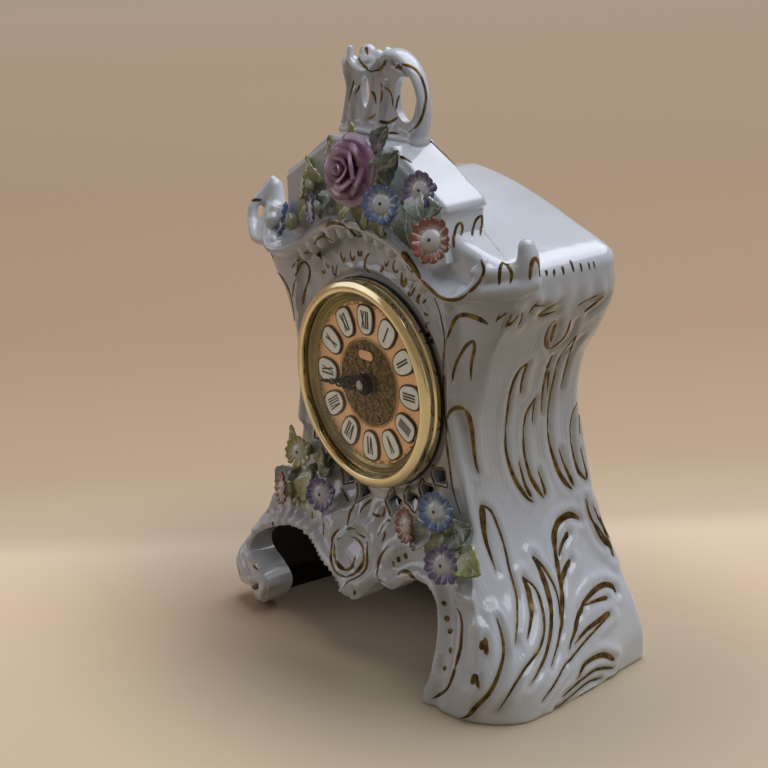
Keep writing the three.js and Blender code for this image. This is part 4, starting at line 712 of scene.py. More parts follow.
def mesh_object(name, verts, faces, material=None, smooth_angle=40.0):
    """A linked mesh object from points in mm."""
    mesh = bpy.data.meshes.new(name)
    mesh.from_pydata((np.array(verts, float) * MM).tolist(), [], faces)
    mesh.validate()
    obj = bpy.data.objects.new(name, mesh)
    bpy.context.scene.collection.objects.link(obj)
    if material:
        mesh.materials.append(material)
    shade(obj, smooth_angle)
    return obj


def shade(obj, smooth_angle=40.0):
    """Smooth shading, with edges sharper than smooth_angle degrees kept crisp."""
    mesh = obj.data
    mesh.polygons.foreach_set("use_smooth", [True] * len(mesh.polygons))
    mesh.set_sharp_from_angle(angle=math.radians(smooth_angle))
    mesh.update()
    return obj


def settle(obj, merge=True):
    """Applies the modifiers, merges doubles and turns the faces outward."""
    graph = bpy.context.evaluated_depsgraph_get()
    mesh = bpy.data.meshes.new_from_object(obj.evaluated_get(graph))
    old = obj.data
    obj.modifiers.clear()
    obj.data = mesh
    bpy.data.meshes.remove(old)
    if merge:
        work = bmesh.new()
        work.from_mesh(mesh)
        bmesh.ops.remove_doubles(work, verts=work.verts, dist=1e-6)
        bmesh.ops.recalc_face_normals(work, faces=work.faces)
        work.to_mesh(mesh)
        work.free()
    return obj


def carve(obj, tool):
    """Cuts the tool's shape out of a mesh; the tool is used up."""
    cut = obj.modifiers.new("cut", "BOOLEAN")
    cut.operation = "DIFFERENCE"
    cut.solver = "MANIFOLD"
    cut.object = tool
    settle(obj, merge=False)
    bpy.data.objects.remove(tool, do_unlink=True)
    return obj


def slab(outline, y_front, y_back):
    """Points and faces of a closed (x, z) outline carried from y_front back to y_back."""
    n = len(outline)
    verts = [(x, y_front, z) for x, z in outline] + [(x, y_back, z) for x, z in outline]
    faces = [[i, (i + 1) % n, (i + 1) % n + n, i + n] for i in range(n)]
    return verts, faces + [list(range(n))[::-1], list(range(n, 2 * n))]


def prism(name, outline, y_front, y_back):
    """A slab as an object of its own, used as a cutting tool."""
    return settle(mesh_object(name, *slab(outline, y_front, y_back)))


def circle(radius, count, cx=0.0, cz=0.0):
    """Points round a circle, from +x toward +z."""
    turn = np.arange(count) / count * 2 * math.pi
    return np.stack([cx + radius * np.cos(turn), cz + radius * np.sin(turn)], 1)


def within(values, limit, room):
    """Bends values that come within room of the limit, on either side of zero, so that none pass it."""
    size = np.abs(values)
    start = limit - room
    return np.where(size > start, np.sign(values) * (start + room * np.tanh((size - start) / room)), values)


def case_shell():
    """The outside of the case: walls with their relief, a rounded eave and the bell-shaped roof."""
    columns = len(COLUMN_REGION)
    top_x = half_section(np.full((1, columns), EAVE_Z), 1)[0]
    eave = roof_line(top_x) - EAVE_ROUND
    z = np.linspace(0, 1, ROWS)[:, None] * eave
    halves = {}
    for side in (1, -1):
        x, y = half_section(z, side)
        halves[side] = np.stack([side * x, y, z], 2)
    back_middle = np.stack([np.zeros(ROWS), back_plane(z[:, 0] * 0 + z[:, -1]),
                            np.linspace(0, 1, ROWS) * (ROOF_TOP_Z - EAVE_ROUND)], 1)[:, None]
    wall = np.concatenate([halves[1], back_middle, halves[-1][:, :0:-1]], 1)
    across = np.roll(wall, -1, 1) - np.roll(wall, 1, 1)
    upward = np.gradient(wall, axis=0)
    normal = np.cross(across, upward)
    normal /= np.linalg.norm(normal, axis=2, keepdims=True)
    x, y, height = wall[..., 0], wall[..., 1], wall[..., 2]
    to_front = np.clip((-normal[..., 1] - 0.35) / 0.35, 0, 1) * (y < 0)
    to_side = np.clip((np.abs(normal[..., 0]) - 0.45) / 0.3, 0, 1) * (1 - 0.75 * to_front)
    relief = to_front * front_relief(x, height) + to_side * side_relief(y, height)
    relief *= np.clip((wall[-1:, :, 2] + 3 - height) / 12, 0, 1)
    wall = wall + normal * (relief - SKIN_INSET)[..., None]
    wall[..., 0] = within(wall[..., 0], FOOT_HALF, 2.0)
    wall[..., 1] = within(wall[..., 1], -TOE_Y - 0.4, 2.0)
    wall[0, :, :2] -= normal[0, :, :2] * 0.8
    wall[..., 2] = np.maximum(wall[..., 2], 0)
    wall[0, :, 2] = 0
    rings = [wall]
    flat = normal.copy()
    flat[..., 2] = 0
    flat = flat[-1] / np.linalg.norm(flat[-1], axis=1, keepdims=True)
    for step in range(1, 7):
        turn = step / 6 * math.pi / 2
        ring = wall[-1] - flat * EAVE_ROUND * (1 - math.cos(turn))
        ring[:, 2] = roof_line(np.abs(ring[:, 0])) - EAVE_ROUND * (1 - math.sin(turn)) - ROOF_INSET
        rings.append(ring[None])
    rim = rings[-1][0]
    for share in np.linspace(0, 1, 26)[1:-1]:
        ring = rim * [1 - share, 1, 1]
        ring[:, 1] = MIDDLE_Y + (rim[:, 1] - MIDDLE_Y) * (1 - share)
        ring[:, 2] = roof_line(np.abs(ring[:, 0])) - ROOF_INSET
        rings.append(ring[None])
    skin = np.concatenate(rings, 0)
    return mesh_object("case", *drawn_to_tips(skin, (0, MIDDLE_Y, ROOF_TOP_Z - ROOF_INSET), (0, 0, 0)))


def case_inside():
    """The inside of the slip-cast wall, coarser than the outside."""
    region, share = spread_columns([4, 6, 6, 3, 3])
    z = np.concatenate([[-4.0], np.linspace(0, EAVE_Z - 2, 26), [EAVE_Z + 4]])[:, None] * np.ones(len(region))
    halves = {}
    for side in (1, -1):
        x, y = half_section(z, side, WALL, region, share)
        halves[side] = np.stack([side * x, y, z], 2)
    middle = np.stack([np.zeros(len(z)), back_plane(z[:, 0]) - WALL, z[:, 0]], 1)[:, None]
    skin = np.concatenate([halves[1], middle, halves[-1][:, :0:-1]], 1)
    top = skin[-1] * [0.97, 0.94, 1]
    top[:, 2] = roof_line(np.abs(top[:, 0])) - ROOF_WALL
    skin[-1, :, 2] = np.minimum(skin[-1, :, 2], top[:, 2] - 1)
    rings = [skin, top[None]]
    for share_in in (0.75, 0.5, 0.25):
        ring = top * [share_in, share_in, 1]
        ring[:, 2] = roof_line(np.abs(ring[:, 0])) - ROOF_WALL
        rings.append(ring[None])
    skin = np.concatenate(rings, 0)
    return mesh_object("case_inside", *drawn_to_tips(skin, (0, 0, ROOF_TOP_Z - ROOF_WALL), (0, 0, -4)))


def arch_prism(margin, y_front, y_back):
    """The arch's opening, widened by margin, from one depth to another."""
    along = np.gradient(arch_line, axis=0)
    normal = np.stack([-along[:, 1], along[:, 0]], 1) / np.linalg.norm(along, axis=1, keepdims=True)
    return prism("arch", arch_line + normal * margin, y_front, y_back)


def make_case():
    """The hollow case with its arch, the dial's hole, the round port in its back and the lattice."""
    case = case_shell()
    hollow = case_inside()
    carve(hollow, arch_prism(ARCH_RIM, TOE_Y - 10, TOE_Y + ARCH_DEPTH))
    carve(case, hollow)
    carve(case, arch_prism(0, TOE_Y - 12, TOE_Y + ARCH_DEPTH + 1))
    carve(case, prism("dial_hole", circle(HOLE_R, 160, 0, DIAL_Z), FRONT_Y - 12, FRONT_Y + 16))
    carve(case, prism("port", circle(PORT_R, 160, 0, DIAL_Z), BACK_Y - 16, HEEL_Y + 4))
    for place in lattice_places():
        carve(case, prism("diamond", diamond(*place, *DIAMOND_HALF), TOE_Y, FRONT_Y + 16))
    return case


RIB_PITCH = 2.4


def vertex_values(mesh, name):
    """The x, y and z of a vector that every vertex has."""
    values = np.empty(len(mesh.vertices) * 3)
    mesh.vertices.foreach_get(name, values)
    return values.reshape(-1, 3).T


def comb_attributes(obj):
    """Where the glaze pools in grooves, where shade is painted under down-facing faces and on the unglazed
    inside, and where the combed ribs run, read off the finished mesh.
    """
    mesh = obj.data
    x, y, z = vertex_values(mesh, "co") / MM
    nx, ny, nz = vertex_values(mesh, "normal")
    groove = np.zeros(len(x))
    near_side = np.abs(nx) > 0.45
    for _, _, points in SIDE_STROKES + WALL_LINES:
        near = distance_to(smooth_line(points, 5.0), y, z)
        groove = np.maximum(groove, bell(near, 2.2) * near_side)
    # painted shade: faces that look down take the darker pooled tone, as if in their own shadow
    under = np.clip(-nz * 1.2, 0, 1)
    set_attribute(mesh, "hollow", np.clip(0.75 * groove + 0.35 * under, 0, 1))
    # painted shade on the inside of the shell, which starts 4 mm under its skin
    walls = np.where(x > 0, side_front[1](z), side_front[-1](z)) - np.abs(x)
    behind = y - np.where(x > 0, front_plane[1](z), front_plane[-1](z))
    depths = np.minimum(behind, back_plane(z) - y)
    cover = np.minimum(np.minimum(walls, depths), roof_line(np.abs(x)) - z)
    cover = np.where(y < TOE_Y + ARCH_DEPTH + 1, 0, cover)
    inward = np.clip(-(nx * x + ny * (y - 5)) / 8, 0, 1) + np.clip(-nz - 0.5, 0, 1) * (z > 120)
    inside_shade = np.clip((cover - 3.6) / 1.2, 0, 1) * np.minimum(inward, 1)
    # painted shade on the walls of the lattice's holes too, which take no glaze
    radius = np.hypot(x, z - DIAL_Z)
    pierced = (walls > 5) * (radius > 48) * (radius < 76) * (z > 68) * (z < DIAL_Z - 20) * (np.abs(ny) < 0.7)
    inside_shade = np.maximum(inside_shade, 0.9 * pierced * np.clip((behind - 0.4) / 1.2, 0, 1))
    set_attribute(mesh, "inside_shade", inside_shade)
    # on the sides the ribs fan with the wall, on the front they follow the outline
    side_phase = (y + 0.12 * (z - 130) * np.clip((130 - z) / 60, 0, 1)) / RIB_PITCH
    front_phase = (np.abs(x) + 0.1 * np.abs(z - DIAL_Z)) / RIB_PITCH
    set_attribute(mesh, "comb_phase", np.where(np.abs(nx) > 0.6, side_phase, front_phase))
    side_mask = near_side * np.clip((z - 6) / 10, 0, 1) * np.clip((178 - z) / 12, 0, 1)
    front_mask = (ny < -0.5) * (radius > 58) * np.clip((z - 84) / 10, 0, 1) * np.clip((196 - z) / 8, 0, 1)
    set_attribute(mesh, "comb_mask", np.clip(side_mask + 0.8 * front_mask, 0, 1) * (1 - 0.8 * groove))


def set_attribute(mesh, name, values):
    """A number for each vertex, or the same one for all, that a material reads."""
    values = np.broadcast_to(values, len(mesh.vertices)).astype(np.float32)
    layer = mesh.attributes.new(name, "FLOAT", "POINT")
    layer.data.foreach_set("value", values)


# Gilding: brushed ribbons of gold, 0.2 mm proud of the porcelain and sunk 0.3 mm into it
RIBBON_ACROSS = (-1.0, -0.55, 0.0, 0.55, 1.0)
RIBBON_HEIGHT = (0.05, 0.2, 0.25, 0.2, 0.05)
RIBBON_ROOT = 0.4
STROKE_WIDTH = 1.15  # brush width over the width noted for each stroke


class Ribbons:
    """Gathers brush strokes into one mesh."""

    def __init__(self, tree):
        self.tree = tree
        self.verts, self.faces = [], []

    def laid(self, at, up, height):
        """A point moved along up until it lies height above the porcelain."""
        start = Vector(at + up * 2.5)
        hit = self.tree.ray_cast(start, Vector(-up), 5.0)[0]
        return (at if hit is None else np.array(hit)) + up * height

    def add(self, points, normals, widths):
        points, normals = np.array(points), np.array(normals)
        for _ in range(2):
            points[1:-1] = 0.25 * points[:-2] + 0.5 * points[1:-1] + 0.25 * points[2:]
            normals[1:-1] = 0.25 * normals[:-2] + 0.5 * normals[1:-1] + 0.25 * normals[2:]
        along = np.gradient(points, axis=0)
        along /= np.linalg.norm(along, axis=1, keepdims=True) + 1e-9
        across = np.cross(normals, along)
        across /= np.linalg.norm(across, axis=1, keepdims=True) + 1e-9
        up = np.cross(along, across)
        first = len(self.verts)
        for at, side, out, width in zip(points, across, up, widths):
            ring = [self.laid(at + side * share * width / 2, out, height)
                    for share, height in zip(RIBBON_ACROSS, RIBBON_HEIGHT)]
            ring += [ring[3] - out * RIBBON_ROOT * 1.6, ring[1] - out * RIBBON_ROOT * 1.6]
            self.verts += [tuple(p) for p in ring]
        self.faces += grid_faces(len(points), len(ring), first, capped=True)

    def stroke(self, line, cast, start, end, step=1.3):
        """Lays a stroke whose flat points cast() finds on the porcelain."""
        flat = smooth_line(line, step)
        if len(flat) < 4:
            flat = smooth_line(line, step / 3)
        points, normals = [], []
        for place in flat:
            hit = cast(place)
            if hit is None:
                continue
            at, normal = hit
            if points and np.linalg.norm(at - points[-1]) > 7 + step:
                continue
            points.append(at)
            normals.append(normal)
        if len(points) < 3:
            return
        t = np.linspace(0, 1, len(points))
        tips = np.minimum(1, t / 0.1 + 0.12) ** 0.5 * np.minimum(1, (1 - t) / 0.16 + 0.1) ** 0.6
        self.add(points, normals, STROKE_WIDTH * (start + (end - start) * t) * tips)

    def make(self, name, material):
        return mesh_object(name, self.verts, self.faces, material, 60)


def surface_of(*objects):
    """A search tree over the made meshes, in mm."""
    verts, faces = [], []
    for obj in objects:
        first = len(verts)
        verts += [(v.co / MM)[:] for v in obj.data.vertices]
        faces += [[first + i for i in p.vertices] for p in obj.data.polygons]
    return BVHTree.FromPolygons(verts, faces)


def caster(tree, origin_of, direction_of):
    """A function from a stroke's flat point to the place on the porcelain that its ray meets first."""
    def cast(place):
        start, direction = Vector(origin_of(place)), Vector(direction_of(place)).normalized()
        at, normal, _, _ = tree.ray_cast(start, direction)
        if at is None:
            return None
        if normal.dot(direction) > 0:
            normal = -normal
        return np.array(at), np.array(normal)
    return cast


def from_side(tree, side):
    """Along x onto a side wall, for strokes given as (y, z)."""
    return caster(tree, lambda p: (side * 200, p[0], p[1]), lambda p: (-side, 0, 0))


def from_front(tree):
    """Along y onto the front, for strokes given as (x, z)."""
    return caster(tree, lambda p: (p[0], -200, p[1]), lambda p: (0, 1, 0))


def from_photo(tree, side=1):
    """Along the photograph's rays, or along their mirror images for the left side."""
    flip = Vector((side, 1, 1))
    return caster(tree, lambda p: CAMERA_AT / MM * flip, lambda p: photo_ray(*p) * flip)


def gild_case(case, material):
    """The strokes of the side walls and the right foot, and the lines round the lattice's diamonds."""
    tree = surface_of(case)
    gold = Ribbons(tree)
    for side in (1, -1):
        cast = from_side(tree, side)
        for start, end, points in SIDE_STROKES:
            gold.stroke(points, cast, start, end)
        cast = from_photo(tree, side)
        strokes = WALL_STROKES if side > 0 else WALL_STROKES[EDGE_STROKE_COUNT:]
        for start, end, points in strokes:
            gold.stroke(points, cast, start, end, 2.2)
    cast = from_photo(tree)
    for start, end, points in FOOT_STROKES:
        gold.stroke(points, cast, start, end, 1.8)
    cast = from_front(tree)
    for place in lattice_places():
        outline = diamond(*place, *DIAMOND_RIM_HALF)
        for a, b in zip(outline, outline[1:] + outline[:1]):
            gold.stroke([a, b], cast, 0.9, 0.9, 0.8)
    return gold.make("case_gilding", material)


def finish_piece(obj, body, slot, *replaces):
    """Names the body that a piece moves with and the CAD nodes that it stands for; slot, its finish, is not
    used.
    """
    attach(obj, body)
    if replaces:
        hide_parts(*replaces)
    return obj


# The stage: a round flat board whose tones are painted light, darkening away from a bright band behind the
# clock
STAGE_GLOW = 0.76  # share of the backdrop's tone that the camera sees whatever the lamps do
STAGE_SPAN = 9.0  # in metres, as are the places in the stage's pattern
STAGE_SIDES = 96
# painted light on the board: brightest in a band behind the clock, darker nearer and farther
STAGE_LIGHT_TONES = [(0.0, "#c2b49a"), (0.075, "#c7b79c"), (0.11, "#d3bb9f"), (0.142, "#d8c3ab"),
               (0.152, "#c3b098"), (0.19, "#b69e86"), (0.30, "#aa9078"), (0.47, "#a78f79"),
               (0.66, "#ab9681"), (1.0, "#b1a18c")]
STAGE_NEAR, STAGE_FAR = -0.262, 2.45


def seen_share(tree):
    """1 for the rays that carry what the camera sees: straight, mirrored or through glass."""
    path = add_node(tree, "ShaderNodeLightPath").outputs
    seen = path["Is Camera Ray"]
    for kind in ("Is Glossy Ray", "Is Transmission Ray"):
        seen = add_node(tree, "ShaderNodeMath", {0: seen, 1: path[kind]}, operation="MAXIMUM").outputs[0]
    return seen


def make_stage():
    """A round board that glows with its painted-light tone where the camera sees it, except near the clock.
    """
    verts = [(x, y, -0.05) for x, y in circle(STAGE_SPAN / MM, STAGE_SIDES)] + [(0, 0, -0.05)]
    faces = [[i, (i + 1) % STAGE_SIDES, STAGE_SIDES] for i in range(STAGE_SIDES)]
    floor = mesh_object("floor", verts, faces)
    material, tree, shader, place = new_material("backdrop_with_painted_light")
    away = Vector((-camera_back.x, -camera_back.y, 0)).normalized()
    behind = add_node(tree, "ShaderNodeVectorMath", {0: place, 1: away}, operation="DOT_PRODUCT")
    share = add_node(tree, "ShaderNodeMapRange", {"Value": behind.outputs["Value"], "From Min": STAGE_NEAR,
                                                  "From Max": STAGE_FAR})
    tone = set_ramp(add_node(tree, "ShaderNodeValToRGB", {"Fac": share.outputs["Result"]}), STAGE_LIGHT_TONES)
    # near the clock the board only takes lamp light, so that its shadow is full there
    spread = add_node(tree, "ShaderNodeVectorMath", {0: place, 1: (1.0, 1.5, 0.0)}, operation="MULTIPLY")
    reach = add_node(tree, "ShaderNodeVectorMath", {0: spread.outputs["Vector"]}, operation="LENGTH")
    away_share = add_node(tree, "ShaderNodeMapRange", {"Value": reach.outputs["Value"], "From Min": 0.10,
                                                       "From Max": 0.30}, interpolation_type="SMOOTHSTEP")
    away_share = away_share.outputs["Result"]
    dulled = add_node(tree, "ShaderNodeMix", {0: 0.6, 6: tone, 7: colour("#000000")},
                      data_type="RGBA").outputs[2]
    paint = add_node(tree, "ShaderNodeMix", {0: away_share, 6: tone, 7: dulled}, data_type="RGBA").outputs[2]
    seen = add_node(tree, "ShaderNodeMath", {0: seen_share(tree), 1: away_share}, operation="MULTIPLY")
    glow = add_node(tree, "ShaderNodeMath", {0: seen.outputs[0], 1: STAGE_GLOW}, operation="MULTIPLY")
    fill(tree, shader, {"Base Color": paint, "Roughness": 0.8, "Specular IOR Level": 0.2,
                        "Emission Color": tone, "Emission Strength": glow.outputs[0]})
    floor.data.materials.append(material)


def add_area(name, at, size, watts, tone):
    """An area lamp at a place in metres that looks at the middle of the clock."""
    light = bpy.data.lights.new(name, "AREA")
    light.shape = "RECTANGLE"
    light.size, light.size_y = size
    light.energy = watts
    light.color = colour(tone)[:3]
    obj = bpy.data.objects.new(name, light)
    place = Vector(at)
    turn = (place - Vector((0, 0, 0.13))).to_track_quat("Z", "Y")
    obj.matrix_world = Matrix.Translation(place) @ turn.to_matrix().to_4x4()
    bpy.context.scene.collection.objects.link(obj)


def make_lights():
    """A large softbox above and behind, a weak window on the right, a fill from the left, and a dim room."""
    add_area("softbox_above", (0.25, 0.6, 1.75), (2.4, 1.8), 35, "#eef3ff")
    add_area("window_right", (1.9, 0.5, 0.7), (1.0, 1.2), 1.2, "#dfeaff")
    add_area("fill_left", (-1.5, -1.2, 0.9), (1.2, 1.2), 5, "#eef0ff")
    world = bpy.data.worlds.new("room")
    bpy.context.scene.world = world
    world.use_nodes = True
    tree = world.node_tree
    background = next(n for n in tree.nodes if n.type == "BACKGROUND")
    fill(tree, background, {"Color": colour("#b9ab98"), "Strength": 0.18})
    # past the edge of the board the camera sees the same tone as its far end
    beyond = add_node(tree, "ShaderNodeBackground", {"Color": colour(STAGE_LIGHT_TONES[-1][1]),
                                                     "Strength": STAGE_GLOW})
    both = add_node(tree, "ShaderNodeMixShader", {"Fac": seen_share(tree),
                                                  1: background.outputs["Background"],
                                                  2: beyond.outputs["Background"]})
    output = next(n for n in tree.nodes if n.type == "OUTPUT_WORLD")
    fill(tree, output, {"Surface": both.outputs[0]})


# Modelled porcelain: closed bodies that are fused, then softened as the glaze softens them
def tube(path, step=1.6, count=14):
    """A closed tube along (x, y, z, radius across, radius in depth) points, with rounded ends."""
    line = smooth_line(path, step)
    at, across, deep = line[:, :3], line[:, 3], line[:, 4]
    along = np.gradient(at, axis=0)
    along /= np.linalg.norm(along, axis=1, keepdims=True)
    cap = np.radians([20, 45, 70])
    for end, way in ((0, -1), (-1, 1)):
        reach = min(across[end], deep[end])
        extra = at[end] + along[end] * way * reach * np.sin(cap)[:, None]
        shrink = np.cos(cap)
        pieces = [extra, shrink * across[end], shrink * deep[end], np.repeat(along[end][None], 3, 0)]
        body = (at, across, deep, along)
        pairs = zip([p[::-1] for p in pieces], body) if end == 0 else zip(body, pieces)
        at, across, deep, along = (np.concatenate(pair) for pair in pairs)
    side = np.cross(along, [0, 1, 0])
    side /= np.linalg.norm(side, axis=1, keepdims=True) + 1e-9
    back = np.cross(side, along)
    turn = np.arange(count) / count * 2 * math.pi
    ring = (at[:, None] + side[:, None] * across[:, None, None] * np.cos(turn)[None, :, None]
            + back[:, None] * deep[:, None, None] * np.sin(turn)[None, :, None])
    return ring.reshape(-1, 3).tolist(), grid_faces(len(at), count, capped=True)


def ball(centre, radii, count=20):
    """An ellipsoid with small flats at its poles."""
    turn = np.arange(count) / count * 2 * math.pi
    rise = np.radians(np.linspace(-80, 80, count // 2))
    ring = np.stack([np.cos(rise)[:, None] * np.cos(turn), np.cos(rise)[:, None] * np.sin(turn),
                     np.sin(rise)[:, None] + 0 * turn], 2) * radii + np.array(centre)
    return ring.reshape(-1, 3).tolist(), grid_faces(len(rise), count, capped=True)


def joined(parts):
    """Several bodies' points and faces as one list of each."""
    verts, faces = [], []
    for points, polygons in parts:
        first = len(verts)
        verts += list(points)
        faces += [[first + i for i in polygon] for polygon in polygons]
    return verts, faces


def mirrored(parts):
    """The same bodies on the other side of x = 0."""
    return [([(-x, y, z) for x, y, z in points], [polygon[::-1] for polygon in polygons])
            for points, polygons in parts]


def fuse(name, parts, voxel, rounds, material):
    """One skin over overlapping closed bodies, then smoothed."""
    obj = settle(mesh_object(name, *joined(parts)))
    skin = obj.modifiers.new("skin", "REMESH")
    skin.mode = "VOXEL"
    skin.voxel_size = voxel * MM
    soften = obj.modifiers.new("soften", "SMOOTH")
    soften.iterations = rounds
    settle(obj)
    obj.data.materials.append(material)
    shade(obj, 180)
    return obj


# Right half of the pediment; the left half mirrors it. Tube points are (x, y, z, radius, depth radius).
GABLE = [(-1, 252), (20, 250), (40, 238), (57, 228), (58, 212), (60, 205), (51, 200), (43, 202), (32, 208),
         (17, 214.5), (0, 217), (-1, 217)]
ROOF_TILE = [(-1, 252), (23, 252), (33, 246), (45, 238), (58.5, 230.5), (59.5, 227), (56, 226), (43, 232),
             (30, 240), (-1, 247)]
ARCH_MOULDING = [(0, -37.5, 214.5, 3, 3.2), (14, -37.5, 213, 3, 3.2), (28, -36, 208, 2.8, 3),
                 (40, -36, 201, 2.8, 3), (50, -37, 195.5, 2.5, 2.8), (60, -38.2, 191.8, 2.2, 2.4),
                 (67, -38.4, 191.2, 2.2, 2.4), (73, -36.5, 193.5, 2.2, 2.4), (77, -33, 198, 2.4, 2.5),
                 (79, -29.5, 204, 2.6, 2.8), (78, -28, 208, 2.8, 2.8)]
EAR_WALL = [(76, -30, 203, 3.5, 4), (83, -25.5, 203, 4, 4.5), (89, -20, 203.5, 4.5, 5.2),
            (93, -15, 204, 4.8, 5.6)]
EAR_FOOT = [(70, -34, 194, 3, 4), (82, -28, 195, 4.5, 5), (91, -21.5, 197, 5, 5.6), (94, -15, 199, 5, 5.4)]
HORN = [(90, -20, 198, 4.6, 5), (93, -17, 205, 5.4, 5.6), (93.4, -16, 210, 5, 5.2),
        (92.6, -16, 215, 3.8, 4.2)]
# An outer lip, on the left ear alone; it is given as if on the right.
EAR_LIP = [(74, -36, 193, 2.2, 2.4), (87, -33, 192.5, 2.4, 2.8), (96.5, -28, 198, 2.4, 2.8),
           (99, -25, 206, 2.4, 2.8), (95.5, -19, 213, 2.8, 3.2), (93.6, -16.5, 218, 2.4, 2.6)]
SCOOP_FRONT = [(40, -36, 203), (50, -37, 197.5), (60, -38, 193.5), (67, -38, 193), (73, -36, 195.5),
               (77, -32.5, 200), (79, -28, 205)]
SCOOP_BACK = [(46, -30, 207), (52, -24, 208), (58, -15, 209), (66, -9, 209.5), (76, -8, 209), (84, -12, 207),
              (88, -17, 206)]
SCOOP_SAG = 3.0
SCOOP_UNDER = [0, 3.0, -6.0]  # from a point of its top to the one under it


def scoop():
    """The dished leaf at the end of the pediment: a thick sheet between its rim and the roof."""
    front, back = np.array(SCOOP_FRONT, float), np.array(SCOOP_BACK, float)
    rows = []
    for v in np.linspace(0, 1, 9):
        row = smooth_line(front * (1 - v) + back * v - [0, 0, SCOOP_SAG * math.sin(math.pi * v)], 2.0)
        pick = np.linspace(0, len(row) - 1, 22).astype(int)
        rows.append(row[pick])
    top = np.array(rows)
    bottom = top + SCOOP_UNDER
    verts = np.concatenate([top.reshape(-1, 3), bottom.reshape(-1, 3)]).tolist()
    return verts, sheet_faces(*top.shape[:2])


def make_pediment(material):
    """The gable with its tile, the moulding over the dial, and the dished leaves and horns at its ends."""
    right = [slab(GABLE, -34, -9), slab(ROOF_TILE, -32.5, -9), tube(ARCH_MOULDING), tube(EAR_WALL),
             tube(EAR_FOOT), tube(HORN), scoop()]
    # the fluted edge that hangs from the moulding over the dial
    for x, z in ((6, 210), (14, 208.5), (22, 205.5), (30, 201.5), (37, 197.5), (44, 193.5)):
        right.append(ball((x, -34.5, z), (3.6, 3.2, 5.0), 14))
    left = mirrored(right + [tube(EAR_LIP)])
    return fuse("pediment_porcelain", right + left, 1.0, 5, material)


# The crest, with z from its foot at CREST_Z. Tube points are (x, y, z, radius, depth radius).
CREST_Z = 252.0
CREST_PANEL = [(-30, -2), (-27, 10), (-24, 20), (-27, 28), (-20, 33), (-6, 31), (6, 34), (16, 31), (23, 24),
               (25, 14), (24, 4), (26, -2)]
CREST_TUBES = [
    [(1, -17, 35, 2.4, 4.5), (9, -17, 38, 2.8, 5.4), (17, -17, 35.5, 2.6, 5), (24, -17, 29, 2.2, 4.4),
     (27.5, -17, 19, 2.0, 4), (26.5, -17, 9, 2.2, 4.4), (22, -17, 2, 2.8, 5.4), (14, -17, -1, 2.4, 5)],
    [(-29, -17, 1, 2.4, 4.6), (-26.5, -17, 10, 1.8, 4.2), (-24, -17, 20, 1.8, 4), (-25.5, -17, 27, 2.4, 4.4)],
    [(-21, -20, 38.5, 1.5, 1.6), (-19.5, -21.3, 33, 1.6, 1.8), (-13, -21.6, 29.5, 1.6, 1.8),
     (-6, -21.6, 29.5, 1.6, 1.8), (-1, -21, 33, 1.6, 1.8), (1, -19.5, 36.5, 1.6, 1.8)],
    [(3, -16, 31, 3.2, 4), (1.6, -15.5, 36, 3.4, 4), (0.4, -15, 38.5, 2, 2.4)],
    [(-29, -17, 0, 2.6, 6), (-16, -17, 1.6, 3, 6.4), (4, -17, 1.6, 3, 6.4), (24, -17, 0, 2.6, 6)],
    [(-24, -18, 3, 2.2, 2.4), (-22.5, -18.5, 11, 2, 2.4), (-20, -18, 19, 1.6, 2)],
    [(-15, -18, 2, 2.2, 2.4), (-13, -18.6, 7, 2, 2.2), (-8, -18, 16, 1.8, 2), (-7, -18, 25, 1.8, 2.2)],
    [(-3, -18, 3, 2.4, 2.6), (-0.5, -19, 12, 2.4, 2.6), (3.5, -18.4, 24, 2, 2.4)],
    [(6, -18, 1, 2.4, 2.4), (8, -18.6, 4, 2.2, 2.4)],
    [(18, -18, 1, 2, 2.4), (22, -18.4, 6, 1.8, 2)],
]
CREST_BALLS = [((-24.5, -17, 30.5), (4.2, 4.8, 4.2)), ((-14, -15, 36.5), (5, 3.6, 3.9)),
               ((-7, -15, 35), (4.6, 3.4, 3.6)), ((-10.5, -17.5, 33), (8, 3.6, 3.6))]
CREST_WINDOWS = [(16.5, 18.5, 7.5, 10.5), (-12.5, 19, 3.4, 7.5)]  # centre x, z, half width, half height


def make_crest(material):
    """The pierced shell on top: a thin panel, the ribs and scrolls over it, and two windows."""
    lift = [0, 0, CREST_Z, 0, 0]
    parts = [slab([(x, z + CREST_Z) for x, z in CREST_PANEL], -19, -15.5)]
    parts += [tube((np.array(path) + lift).tolist()) for path in CREST_TUBES]
    parts += [ball(np.array(at) + lift[:3], radii, 18) for at, radii in CREST_BALLS]
    crest = fuse("crest_porcelain", parts, 0.8, 4, material)
    for x, z, half_w, half_h in CREST_WINDOWS:
        carve(crest, prism("window", circle(1, 32) * [half_w, half_h] + [x, z + CREST_Z], -30, 0))
    shade(crest, 50)
    return crest


